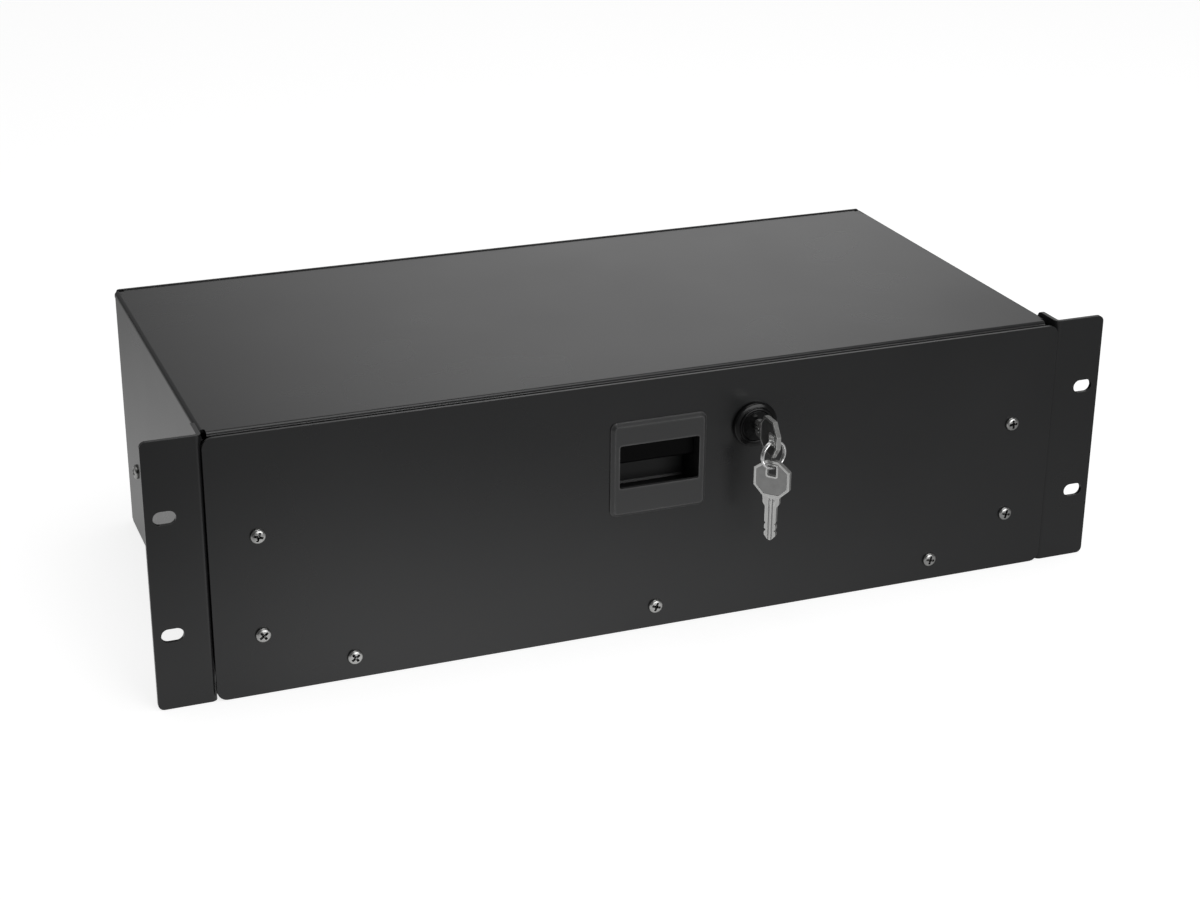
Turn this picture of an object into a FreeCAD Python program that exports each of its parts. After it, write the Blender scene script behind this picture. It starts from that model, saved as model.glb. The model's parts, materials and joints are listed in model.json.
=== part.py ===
import FreeCAD, Part
import math
import os

from FreeCAD import Matrix, Rotation, Vector

# Lockable 3U rack drawer, millimetres.
# Origin: centre of the four rack slots, on the rear faces of the ears (the rack rail plane).
# +X right seen from the front, +Y to the rear, +Z up. The drawer is closed and latched.

# ---- rack ears -------------------------------------------------------------------------
rack_width = 482.6
ear_height = 130.4
ear_gauge = 2.0
ear_bend = 1.0                  # inside radius of the fold
ear_return = 15.7               # depth of the return that lies on the case
ear_corner = 3.0
slot_pitch_x = 465.1
slot_pitch_z = 57.15
slot_length = 10.3
slot_width = 6.6
ear_rivet_drops = (15.2, 53.2)      # of the upper two, from the top of the ear
ear_rivet_rise = 8.2             # of the lowest, from its bottom
ear_rivet_y = 8.6

# ---- case ------------------------------------------------------------------------------
case_width = 428.0
case_front = 3.3
case_rear = 209.5
case_top_drop = 1.5             # below the top of the ears
case_gauge = 1.5
case_bend = 0.6
case_lip = 12.0                 # turned-in edge under each side
front_flange_depth = 15.2       # strip of the top that is folded down at the front
front_notch = (3.2, 4.7)        # corner relief, across and along
rear_notch = (4.7, 3.4)
rear_tab = 17.0                 # side tabs lapped inside the rear wall
lap_gap = 0.1
rear_rivet_insets = (24.2, 22.7)        # from the bottom and the top of the case
rear_rivet_inset = 7.5

# ---- slides ----------------------------------------------------------------------------
slide_axis_rise = 36.5          # above the underside of the tray
slide_start = 6.0
slide_rear_gap = 5.5            # from the rear end of the slides to the rear of the case
slide_thickness = 12.7
slide_gauge = 1.2
ball_radius = 2.0
race_gap = 0.2
outer_ball_rise = 19.4          # of the outer rows, above and below the slide axis
outer_race_room = 1.8           # from the case wall to the race round them
inner_ball_inset = 3.09         # of the inner rows, from the tray wall
middle_web = 3.7
cage_gauge = 0.6
cage_length = 90.0              # centred on the length of the slide
balls_in_row = 2
cage_hole_gap = 0.17
outer_cage_web = 2.3
inner_cage_web = 6.2
slide_screw_insets = (29.0, 25.0)       # from the front and the rear end of the slide
slide_screw_tip = 0.4

# ---- tray ------------------------------------------------------------------------------
tray_gauge = 1.2
tray_bend = 0.5
tray_floor_rise = 3.7           # above the bottom of the case
tray_height = 87.7
tray_rear_gap = 16.0            # from the tray to the rear of the case
tray_front_gap = 1.2            # between the folded-in front flanges and the walls behind
side_flange = 16.0
side_flange_rise = 14.6         # above the underside of the tray
bottom_flange_height = 15.2
flange_corner_gap = 2.8         # between the side flanges and the bottom one
tray_tab = 15.0
tray_rivet_insets = (17.5, 16.2)        # from the floor and from the top of its walls

# ---- front panel -----------------------------------------------------------------------
panel_lap = 0.6                 # beyond each side of the case
panel_bottom_rise = 0.2         # above the bottom of the case
panel_top_drop = 0.1            # below the top of the case
panel_gauge = 1.5
panel_front = -3.0
panel_corner = 5.0
side_screw_inset = 7.6          # from the side of the tray
side_screw_end = 12.0           # from each end of the side flange
bottom_screw_inset = 31.0       # from each end of the bottom flange
bottom_screw_rise = 7.6         # above the underside of the tray

# ---- fasteners -------------------------------------------------------------------------
screw_radius = 1.95
thread_gap = 0.05
screw_clearance = 0.25
screw_head_radius = 3.5
screw_head_height = 1.9
slide_head_radius = 3.75
rivet_radius = 1.6
rivet_head_radius = 3.0
rivet_head_height = 1.1
rivet_tail_radius = 2.5
rivet_tail_height = 1.2
clinch_nut_radius = 3.6
clinch_nut_height = 1.8

# ---- latch -----------------------------------------------------------------------------
bezel_width = 48.6
bezel_height = 47.5
bezel_drop = 4.3                # below the flange that the bolt catches
bezel_proud = 2.3
bezel_bevel = 1.7
bezel_corner = 3.4
bezel_wall = 1.8
mouth_width = 40.4
mouth_height = 21.7
mouth_drop = 11.2               # below the top of the bezel
pocket_below = 5.5              # how far the pocket goes below the mouth
pocket_above = 7.3              # and above it
pocket_depth = 19.4             # from the face of the bezel to the back of the pocket
pocket_wall = 1.8
pocket_ledge = 1.1              # height and depth of the step along the foot of its back
cutout_gap = 0.3
cover_boss_radius = 2.6
cover_boss_gap = 0.6            # from a guide rail of the cover to a boss
cover_boss_insets = (6.7, 6.3)          # from the bottom and the top of the pocket
cover_boss_height = 4.2
cover_screw_radius = 1.05
cover_head_radius = 2.0
cover_head_height = 1.2
paddle_gap = 0.6                # each end of the paddle
paddle_gauge = 2.4
paddle_depth = 5.9              # from the face of the bezel to the paddle
paddle_rise = 9.9               # above the lower edge of the mouth
paddle_bead = 1.7
pin_radius = 1.25
pin_depth = 9.3                 # from the face of the bezel
pin_drop = 3.3                  # below the top of the pocket
pin_gap = 0.07
hub_radius = 2.9
arm_width = 8.0
arm_gauge = 2.2
arm_short = 0.6                 # from the tip of the arm to the back of the bolt
paddle_swing = 20.0
bolt_width = 18.0
bolt_gauge = 3.6
bolt_gap = 0.3
bolt_play = 0.95                # above and below the arm in the bolt's window
bolt_reach = 3.8                # how far the tongue stands behind the flange
bolt_drop = 4.78                # travel when the paddle is pulled
bolt_leg = 23.0                 # from the pin to the foot of the bolt
tongue_land = 3.0
cover_gauge = 1.5
cover_margin = 3.5              # from its screws to its edge
cover_top_drop = 0.3            # below the top of the pocket
spring_wire = 0.5               # square wire
spring_radius = 1.35
spring_turns = 4
spring_room = 12.0              # between the bolt and the shelf of the cover

# ---- lock ------------------------------------------------------------------------------
lock_x = 49.3
lock_drop = 14.2                # below the edge of the front flange
lock_rim = 1.85                 # of the head, beyond the barrel
lock_head_height = 3.9
lock_barrel_radius = 9.4
lock_flat_depth = 1.2           # how much each flat takes off the barrel
keyway_end = 3.8                # from the tip of the key to the end of the barrel
lock_hole_gap = 0.2
plug_radius = 6.95
plug_gap = 0.05
plug_flange_radius = 7.6
plug_face = 3.6                 # from the face of the panel
washer_gauge = 0.8
nut_height = 4.0
nut_wall = 1.6                  # of the nut, at its flats
nut_gap = 0.15
cam_gauge = 1.8
cam_width = 13.0
cam_reach = 23.0
cam_crank = 8.0
cam_square = 7.4
cam_gap = 0.1

# ---- keys and ring ---------------------------------------------------------------------
key_bow_gauge = 2.4
key_blade_gauge = 2.0
bow_half = 9.15
bow_length = 18.55
bow_end_half = 3.0
bow_slope = 4.7                 # length of the two far corners
bow_side = 9.0                  # straight side
shank_half = 4.3
shank_length = 5.1
blade_half = 2.9
blade_length = 17.3
blade_tip = 2.5
bow_web = 2.5
bow_hole = (5.4, 4.6)
bow_hole_corner = 0.6
bow_border = 1.2                # raised edge of the bow
bow_recess = 0.3                # how deep the bow's faces lie inside it
bow_rim = 0.8                   # raised edge of its hole
keyway_gap = 0.15
ring_radius = 6.6
ring_wire = 0.6                 # half the width of its flat wire
ring_turn = 1.0                 # thickness of each of its two turns
ring_groove = (0.3, 0.15)       # width and depth of the groove between them
ring_turned = 14.0              # degrees, turned to the right about the vertical
ring_seat = 0.75                # room for its wire to turn in a key's hole
spare_turned = -49.0
spare_seat = 0.75

# ---- worked out ------------------------------------------------------------------------
case_half = case_width / 2
case_bottom = -ear_height / 2
case_top = ear_height / 2 - case_top_drop
wall_inner = case_half - case_gauge
flange_bottom = case_top - front_flange_depth
ear_rivet_heights = [ear_height / 2 - drop for drop in ear_rivet_drops] + [ear_rivet_rise - ear_height / 2]
rear_rivet_heights = (case_bottom + rear_rivet_insets[0], case_top - rear_rivet_insets[1])

tray_half = wall_inner - slide_thickness
tray_floor = case_bottom + tray_floor_rise
tray_top = tray_floor + tray_height
tray_front = panel_front + panel_gauge
tray_rear = case_rear - tray_rear_gap
side_flange_bottom = tray_floor + side_flange_rise
bottom_flange_top = tray_floor + bottom_flange_height
bottom_flange_half = tray_half - side_flange - flange_corner_gap
tray_rivet_heights = (tray_floor + tray_rivet_insets[0], tray_top - tray_rivet_insets[1])

slide_axis_z = tray_floor + slide_axis_rise
slide_end = case_rear - slide_rear_gap
slide_screw_places = (slide_start + slide_screw_insets[0], slide_end - slide_screw_insets[1])
cage_start = (slide_start + slide_end - cage_length) / 2
race_middle = ball_radius + race_gap + slide_gauge / 2
outer_ball = (outer_race_room + slide_gauge / 2 + race_middle, outer_ball_rise)
# the inner row nests under the outer one: both touch the middle member, from its two faces
inner_ball_x = slide_thickness - inner_ball_inset
nest_angle = math.degrees(math.acos((inner_ball_x - outer_ball[0]) / (2 * race_middle)))
inner_ball = (inner_ball_x, outer_ball[1] - 2 * race_middle * math.sin(math.radians(nest_angle)))

panel_half = case_half + panel_lap
panel_bottom = case_bottom + panel_bottom_rise
panel_top = case_top - panel_top_drop
panel_back = panel_front + panel_gauge
side_screw_x = tray_half - side_screw_inset
side_screw_heights = (tray_top - side_screw_end, side_flange_bottom + side_screw_end)
bottom_screw_x = bottom_flange_half - bottom_screw_inset
bottom_screw_z = tray_floor + bottom_screw_rise

bezel_top = flange_bottom - bezel_drop
bezel_bottom = bezel_top - bezel_height
bezel_face = panel_front - bezel_proud
mouth_top = bezel_top - mouth_drop
mouth_bottom = mouth_top - mouth_height
pocket_top = mouth_top + pocket_above
pocket_bottom = mouth_bottom - pocket_below
pocket_back = bezel_face + pocket_depth
housing_back = pocket_back + pocket_wall
pin_y = bezel_face + pin_depth
pin_z = pocket_top - pin_drop
paddle_front = bezel_face + paddle_depth
paddle_bottom = mouth_bottom + paddle_rise
bolt_front = housing_back + bolt_gap
bolt_back = bolt_front + bolt_gauge
bolt_bottom = pin_z - bolt_leg
arm_reach = bolt_back - arm_short - pin_y
tongue_front = case_front + case_gauge + 0.4
tongue_top = flange_bottom + bolt_reach
cover_front = housing_back + cover_boss_height
cover_top = pocket_top - cover_top_drop
cover_boss_x = bolt_width / 2 + bolt_gap + cover_gauge + cover_boss_gap + cover_boss_radius
cover_bosses = ((-cover_boss_x, pocket_bottom + cover_boss_insets[0]),
                (cover_boss_x, pocket_top - cover_boss_insets[1]))
spring_y = (bolt_front + bolt_back) / 2
spring_foot = bolt_bottom - spring_room

lock_z = flange_bottom - lock_drop
lock_head_radius = lock_barrel_radius + lock_rim
lock_flats = 2 * (lock_barrel_radius - lock_flat_depth)
lock_barrel_length = blade_length - plug_face + keyway_end      # from the face of the panel
nut_flats = 2 * (lock_barrel_radius + nut_wall)

key_end = panel_front - plug_face - 0.05 - bow_length - shank_length
ring_top = lock_z - bow_hole[1] / 2 + ring_wire + ring_seat
ring_z = ring_top - ring_radius
ring_y = key_end + bow_web + bow_hole[0] / 2
spare_top = ring_z - ring_radius + ring_wire + spare_seat + bow_web


# ---- drawing helpers -------------------------------------------------------------------
def front(u, v):
    """Sections drawn in X and Z."""
    return Vector(u, 0, v)


def side(u, v):
    """Sections drawn in Y and Z."""
    return Vector(0, u, v)


def plan(u, v):
    """Sections drawn in X and Y."""
    return Vector(u, v, 0)


def slide_section(u, v):
    """u from the inside of the right wall towards the tray, v from the slide's axis."""
    return Vector(wall_inner - u, 0, slide_axis_z + v)


normals = {front: Vector(0, 1, 0), side: Vector(1, 0, 0), plan: Vector(0, 0, 1), slide_section: Vector(0, 1, 0)}


def polar(centre, radius, degrees):
    turn = math.radians(degrees)
    return (centre[0] + radius * math.cos(turn), centre[1] + radius * math.sin(turn))


def run(start, end):
    return ("run", start, end)


def bend(centre, radius, start, end):
    """An arc from one angle to another, in degrees; anticlockwise when end is the larger."""
    return ("bend", centre, radius, start, end)


def fold(points, radius):
    """A path along the points with every corner rounded to the radius."""
    path = []
    here = points[0]
    for before, corner, after in zip(points, points[1:], points[2:]):
        into = math.atan2(corner[1] - before[1], corner[0] - before[0])
        out = math.atan2(after[1] - corner[1], after[0] - corner[0])
        turn = (out - into + math.pi) % (2 * math.pi) - math.pi
        reach = radius * math.tan(abs(turn) / 2)
        sign = 1 if turn > 0 else -1
        touch = (corner[0] - reach * math.cos(into), corner[1] - reach * math.sin(into))
        centre = (touch[0] - sign * radius * math.sin(into), touch[1] + sign * radius * math.cos(into))
        start = math.degrees(into) - sign * 90
        path.append(run(here, touch))
        path.append(bend(centre, radius, start, start + math.degrees(turn)))
        here = polar(centre, radius, start + math.degrees(turn))
    path.append(run(here, points[-1]))
    return path


def beside(step, shift):
    """The start, middle and end of a step of a path, moved to its left."""
    if step[0] == "run":
        _, start, end = step
        length = math.dist(start, end)
        left = (-(end[1] - start[1]) * shift / length, (end[0] - start[0]) * shift / length)
        return [(start[0] + left[0], start[1] + left[1]), (end[0] + left[0], end[1] + left[1])]
    _, centre, radius, start, end = step
    radius = radius - shift if end > start else radius + shift
    return [polar(centre, radius, angle) for angle in (start, (start + end) / 2, end)]


def strip(path, gauge, plane, start, end):
    """Sheet of one gauge whose middle follows the path, extruded between two places."""
    edges = []
    left = [beside(step, gauge / 2) for step in path]
    right = [beside(step, -gauge / 2) for step in path]
    for points in left + right:
        corners = [plane(*point) for point in points]
        if len(corners) == 2:
            edges.append(Part.LineSegment(*corners).toShape())
        else:
            edges.append(Part.Arc(*corners).toShape())
    for one, other in ((left[0][0], right[0][0]), (left[-1][-1], right[-1][-1])):
        edges.append(Part.LineSegment(plane(*one), plane(*other)).toShape())
    return raised(Part.Wire(Part.__sortEdges__(edges)), normals[plane], start, end)


def raised(wire, normal, start, end):
    face = Part.Face(wire)
    face.translate(normal * start)
    return face.extrude(normal * (end - start))


def plate(points, plane, start, end, radius=0.0):
    """A flat plate with the corners given, all rounded to one radius."""
    if radius == 0.0:
        wire = Part.makePolygon([plane(*point) for point in points + points[:1]])
        return raised(wire, normals[plane], start, end)
    middle = ((points[-1][0] + points[0][0]) / 2, (points[-1][1] + points[0][1]) / 2)
    edges = []
    for step in fold([middle] + points + [middle], radius):
        corners = [plane(*point) for point in beside(step, 0.0)]
        make = Part.LineSegment if len(corners) == 2 else Part.Arc
        edges.append(make(*corners).toShape())
    return raised(Part.Wire(edges), normals[plane], start, end)


def rectangle(left, right, bottom, top):
    return [(left, bottom), (right, bottom), (right, top), (left, top)]


def box(x, y, z):
    return Part.makeBox(x[1] - x[0], y[1] - y[0], z[1] - z[0], Vector(x[0], y[0], z[0]))


def rod(radius, start, end):
    """A cylinder between two points."""
    axis = end - start
    return Part.makeCylinder(radius, axis.Length, start, axis)


def turned(profile, place, direction):
    """A solid turned about its height, from (radius, height) points."""
    outline = Part.makePolygon([Vector(radius, 0, height) for radius, height in profile + profile[:1]])
    solid = Part.Face(outline).revolve(Vector(0, 0, 0), Vector(0, 0, 1), 360)
    solid.Placement = FreeCAD.Placement(place, Rotation(Vector(0, 0, 1), direction))
    return solid


def joined(shapes):
    whole = shapes[0]
    for shape in shapes[1:]:
        whole = whole.fuse(shape)
    return whole.removeSplitter()


def mirrored(shape):
    """The other hand of a piece, across the middle of the drawer."""
    return shape.mirror(Vector(0, 0, 0), Vector(1, 0, 0))


def rounded(shape, radius, chosen):
    """Fillets the edges whose middle the test picks."""
    edges = [edge for edge in shape.Edges if chosen(edge, edge.CenterOfMass)]
    return shape.makeFillet(radius, edges)


# ---- fasteners -------------------------------------------------------------------------
def rivet(place, outward, grip):
    """A blind rivet: low head on the outside, upset tail behind the sheets."""
    profile = [(0, rivet_head_height), (rivet_head_radius * 0.55, rivet_head_height), (rivet_head_radius, 0),
               (rivet_radius, 0), (rivet_radius, -grip), (rivet_tail_radius, -grip),
               (rivet_tail_radius * 0.7, -grip - rivet_tail_height), (0, -grip - rivet_tail_height)]
    return turned(profile, place, outward)


def screw(place, outward, reach, head_radius):
    """A pan-head screw with its head's seat at the place given."""
    profile = [(0, screw_head_height), (head_radius * 0.7, screw_head_height),
               (head_radius, screw_head_height * 0.45), (head_radius, 0), (screw_radius, 0),
               (screw_radius, -reach), (0, -reach)]
    return turned(profile, place, outward)


# ---- case ------------------------------------------------------------------------------
def case_shell():
    half = case_gauge / 2
    wall, roof, floor = case_half - half, case_top - half, case_bottom + half
    radius = case_bend + half
    roof_cut = case_top - case_gauge - case_bend - 1.0
    rear_inner = case_rear - case_gauge
    tab = rear_inner - lap_gap - half
    lip = case_half - case_lip

    section = [(-lip, floor), (-wall, floor), (-wall, roof), (wall, roof), (wall, floor), (lip, floor)]
    body = strip(fold(section, radius), case_gauge, front, case_front, tab - 3.0)
    ends = [(case_front - 1, case_front + front_notch[1]), (tab - 3.0 - rear_notch[1], case_rear + 1)]
    for start, end in ends:
        body = body.cut(box((-case_half - 1, case_half + 1), (start, end), (roof_cut, case_top + 1)))

    flange_half = case_half - front_notch[0]
    flange = [(ends[0][1], roof), (case_front + half, roof), (case_front + half, flange_bottom)]
    front_flange = strip(fold(flange, radius), case_gauge, side, -flange_half, flange_half)

    rear_half = case_half - rear_notch[0]
    wall_line = [(ends[1][0], roof), (case_rear - half, roof), (case_rear - half, case_bottom + 2.0)]
    rear_wall = strip(fold(wall_line, radius), case_gauge, side, -rear_half, rear_half)
    lip_half = lip - 1.5
    lip_line = [(case_rear - half, 0), (case_rear - half, floor), (case_rear - case_lip, floor)]
    rear_lip = strip(fold(lip_line, radius), case_gauge, side, -lip_half, lip_half)

    tab_line = [(wall, tab - 3.0), (wall, tab), (case_half - rear_tab, tab)]
    tab_right = strip(fold(tab_line, radius), case_gauge, plan, case_bottom + 2.5, roof_cut)
    shell = joined([body, front_flange, rear_wall, rear_lip, tab_right, mirrored(tab_right)])

    for sign in (1, -1):
        across = Vector(sign, 0, 0)
        for place in slide_screw_places:
            start = Vector(sign * (wall_inner - 1), place, slide_axis_z)
            shell = shell.cut(rod(screw_radius + screw_clearance, start, start + across * (case_gauge + 2)))
        for height in ear_rivet_heights:
            start = Vector(sign * (wall_inner - 1), ear_rivet_y, height)
            shell = shell.cut(rod(rivet_radius + thread_gap, start, start + across * (case_gauge + 2)))
        for height in rear_rivet_heights:
            start = Vector(sign * (rear_half - rear_rivet_inset), tab - 2, height)
            shell = shell.cut(rod(rivet_radius + thread_gap, start, start + Vector(0, 6, 0)))
    return shell


def case_rear_rivets():
    rear_half = case_half - rear_notch[0]
    grip = 2 * case_gauge + lap_gap
    places = [(sign * (rear_half - rear_rivet_inset), height) for sign in (1, -1) for height in rear_rivet_heights]
    return [rivet(Vector(x, case_rear, z), Vector(0, 1, 0), grip) for x, z in places]


def ear_bracket():
    """The right ear: a plate on the rack rail, folded back along the side of the case."""
    half = ear_gauge / 2
    line = [(rack_width / 2, -half), (case_half + half, -half), (case_half + half, ear_return)]
    ear = strip(fold(line, ear_bend + half), ear_gauge, plan, -ear_height / 2, ear_height / 2)

    def corner(edge, middle):
        tip = abs(middle.x - rack_width / 2) < 0.01 and abs(middle.y + half) < 0.01
        heel = abs(middle.y - ear_return) < 0.01 and abs(middle.x - case_half - half) < 0.01
        return (tip or heel) and abs(abs(middle.z) - ear_height / 2) < 0.01
    ear = rounded(ear, ear_corner, corner)

    reach = (slot_length - slot_width) / 2
    for z in (slot_pitch_z / 2, -slot_pitch_z / 2):
        x = slot_pitch_x / 2
        corners = rectangle(x - reach - slot_width / 2, x + reach + slot_width / 2, z - slot_width / 2, z + slot_width / 2)
        ear = ear.cut(plate(corners, front, -ear_gauge - 1, 1, slot_width / 2 - 0.001))
    for height in ear_rivet_heights:
        start = Vector(case_half - 1, ear_rivet_y, height)
        ear = ear.cut(rod(rivet_radius + thread_gap, start, start + Vector(ear_gauge + 2, 0, 0)))
    return ear


def ear_rivets():
    return [rivet(Vector(case_half + ear_gauge, ear_rivet_y, z), Vector(1, 0, 0), ear_gauge + case_gauge)
            for z in ear_rivet_heights]


# ---- slides ----------------------------------------------------------------------------
def both_halves(path, gauge, start, end):
    """A slide section drawn above its axis, doubled below it."""
    upper = strip(path, gauge, slide_section, start, end)
    lower = upper.mirror(Vector(0, 0, slide_axis_z), Vector(0, 0, 1))
    return joined([upper, lower])


def slide_screw_holes(member, inside, outside):
    for place in slide_screw_places:
        start = Vector(wall_inner - inside, place, slide_axis_z)
        member = member.cut(rod(screw_radius + thread_gap, start, start + Vector(inside - outside, 0, 0)))
    return member


def slide_outer():
    """The case member: a channel whose edges curl over the outer ball rows."""
    web = slide_gauge / 2
    race = polar(outer_ball, race_middle, 150)
    knee = (web, race[1] - (race[0] - web) * math.tan(math.radians(60)))
    path = fold([(web, 0), knee, race], slide_gauge) + [bend(outer_ball, race_middle, 150, 20)]
    return slide_screw_holes(both_halves(path, slide_gauge, slide_start, slide_end), 2 * slide_gauge, -1)


def slide_middle():
    """The middle member: cupped under the outer balls and over the inner ones."""
    under = outer_ball[1] - race_middle
    path = fold([(middle_web, 0), (middle_web, under), (outer_ball[0], under)], slide_gauge)
    path += [bend(outer_ball, race_middle, -90, -nest_angle), bend(inner_ball, race_middle, 180 - nest_angle, 45)]
    return both_halves(path, slide_gauge, slide_start, slide_end)


def slide_inner():
    """The tray member: a flat channel whose edges cup the inner balls from below."""
    web = slide_thickness - slide_gauge / 2
    race = polar(inner_ball, race_middle, -75)
    knee = (web, race[1] + (web - race[0]) * math.tan(math.radians(15)))
    path = [bend(inner_ball, race_middle, -140, -75)] + fold([race, knee, (web, 0)], slide_gauge * 0.8)
    member = both_halves(path, slide_gauge, slide_start, slide_end)
    return slide_screw_holes(member, slide_thickness + 1, slide_thickness - 2 * slide_gauge)


def ball_places():
    pitch = cage_length / balls_in_row
    return [cage_start + pitch * (number + 0.5) for number in range(balls_in_row)]


def ball_cage(row, web, drop, reach):
    """A thin strip with a pocket for each ball, between two members of the slide."""
    level = row[1] - drop
    path = fold([(web, 0), (web, level), (reach, level)], 1.0)
    cage = both_halves(path, cage_gauge, cage_start, cage_start + cage_length)
    depth = drop - cage_gauge / 2
    hole = math.sqrt(ball_radius ** 2 - depth ** 2) + cage_hole_gap
    for y in ball_places():
        for sign in (1, -1):
            foot = slide_section(row[0], sign * (level - 1)) + Vector(0, y, 0)
            cage = cage.cut(rod(hole, foot, foot + Vector(0, 0, sign * 2)))
    return cage


def balls(row):
    centres = [slide_section(row[0], sign * row[1]) + Vector(0, y, 0) for y in ball_places() for sign in (1, -1)]
    return [Part.makeSphere(ball_radius, centre) for centre in centres]


def slide_case_screws():
    reach = case_gauge + slide_gauge + slide_screw_tip
    return [screw(Vector(case_half, place, slide_axis_z), Vector(1, 0, 0), reach, slide_head_radius)
            for place in slide_screw_places]


def slide_tray_screws():
    reach = tray_gauge + slide_gauge + slide_screw_tip
    seat = tray_half - tray_gauge
    return [screw(Vector(seat, place, slide_axis_z), Vector(-1, 0, 0), reach, slide_head_radius)
            for place in slide_screw_places]


# ---- tray ------------------------------------------------------------------------------
def front_screw_places():
    sides = [(sign * side_screw_x, z) for sign in (1, -1) for z in side_screw_heights]
    bottom = [(step * bottom_screw_x, bottom_screw_z) for step in (-1, 0, 1)]
    return sides, bottom


def tray():
    half = tray_gauge / 2
    wall, floor = tray_half - half, tray_floor + half
    radius = tray_bend + half
    start = tray_front + tray_gauge + tray_front_gap
    section = [(-wall, tray_top), (-wall, floor), (wall, floor), (wall, tray_top)]
    body = strip(fold(section, radius), tray_gauge, front, start, tray_rear - 2.0)

    flange = tray_front + half
    line = [(wall, start), (wall, flange), (tray_half - side_flange, flange)]
    side_right = strip(fold(line, radius), tray_gauge, plan, side_flange_bottom, tray_top)
    line = [(start, floor), (flange, floor), (flange, bottom_flange_top)]
    bottom = strip(fold(line, radius), tray_gauge, side, -bottom_flange_half, bottom_flange_half)

    rear_half = tray_half - tray_gauge - lap_gap - tray_bend
    line = [(tray_rear - 2.0, floor), (tray_rear - half, floor), (tray_rear - half, tray_top)]
    rear = strip(fold(line, radius), tray_gauge, side, -rear_half, rear_half)
    tab = tray_rear + lap_gap + half
    line = [(wall, tray_rear - 2.0), (wall, tab), (tray_half - tray_tab, tab)]
    tab_right = strip(fold(line, radius), tray_gauge, plan, tray_floor + 3.0, tray_top)
    shell = joined([body, side_right, mirrored(side_right), bottom, rear, tab_right, mirrored(tab_right)])

    for x, z in front_screw_places()[0] + front_screw_places()[1]:
        start = Vector(x, tray_front - 1, z)
        shell = shell.cut(rod(screw_radius + thread_gap, start, start + Vector(0, tray_gauge + 2, 0)))
    for sign in (1, -1):
        for place in slide_screw_places:
            start = Vector(sign * (tray_half - tray_gauge - 1), place, slide_axis_z)
            across = Vector(sign * (tray_gauge + 2), 0, 0)
            shell = shell.cut(rod(screw_radius + screw_clearance, start, start + across))
        for height in tray_rivet_heights:
            start = Vector(sign * (tray_half - tray_tab / 2), tray_rear - 3, height)
            shell = shell.cut(rod(rivet_radius + thread_gap, start, start + Vector(0, 6, 0)))
    return shell


def tray_rear_rivets():
    places = [(sign * (tray_half - tray_tab / 2), z) for sign in (1, -1) for z in tray_rivet_heights]
    seat = tray_rear + lap_gap + tray_gauge
    return [rivet(Vector(x, seat, z), Vector(0, 1, 0), 2 * tray_gauge + lap_gap) for x, z in places]


# ---- front panel -----------------------------------------------------------------------
def lock_outline(radius, flats, start, end):
    """A round bar with two upright flats, on the lock's axis."""
    bar = rod(radius, Vector(lock_x, start, lock_z), Vector(lock_x, end, lock_z))
    keep = box((lock_x - flats / 2, lock_x + flats / 2), (start - 1, end + 1), (lock_z - radius - 1, lock_z + radius + 1))
    return bar.common(keep)


def housing_outline():
    return (mouth_width / 2 + pocket_wall, pocket_bottom - pocket_wall, pocket_top + pocket_wall)


def front_panel():
    corners = rectangle(-panel_half, panel_half, panel_bottom, panel_top)
    panel = plate(corners, front, panel_front, panel_back, panel_corner)
    half, bottom, top = housing_outline()
    corners = rectangle(-half - cutout_gap, half + cutout_gap, bottom - cutout_gap, top + cutout_gap)
    panel = panel.cut(plate(corners, front, panel_front - 1, panel_back + 1, 1.0))
    hole = lock_outline(lock_barrel_radius + lock_hole_gap, lock_flats + 2 * lock_hole_gap, panel_front - 1, panel_back + 1)
    panel = panel.cut(hole)
    for x, z in front_screw_places()[0] + front_screw_places()[1]:
        start = Vector(x, panel_front - 1, z)
        panel = panel.cut(rod(screw_radius + screw_clearance, start, start + Vector(0, panel_gauge + 2, 0)))
    return panel


def panel_screws(places):
    reach = panel_gauge + tray_gauge + clinch_nut_height + 0.6
    return [screw(Vector(x, panel_front, z), Vector(0, -1, 0), reach, screw_head_radius) for x, z in places]


def panel_clinch_nuts():
    nuts = []
    seat = tray_front + tray_gauge
    for x, z in front_screw_places()[0] + front_screw_places()[1]:
        start = Vector(x, seat, z)
        end = start + Vector(0, clinch_nut_height, 0)
        nuts.append(rod(clinch_nut_radius, start, end).cut(rod(screw_radius + thread_gap, start, end)))
    return nuts


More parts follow.
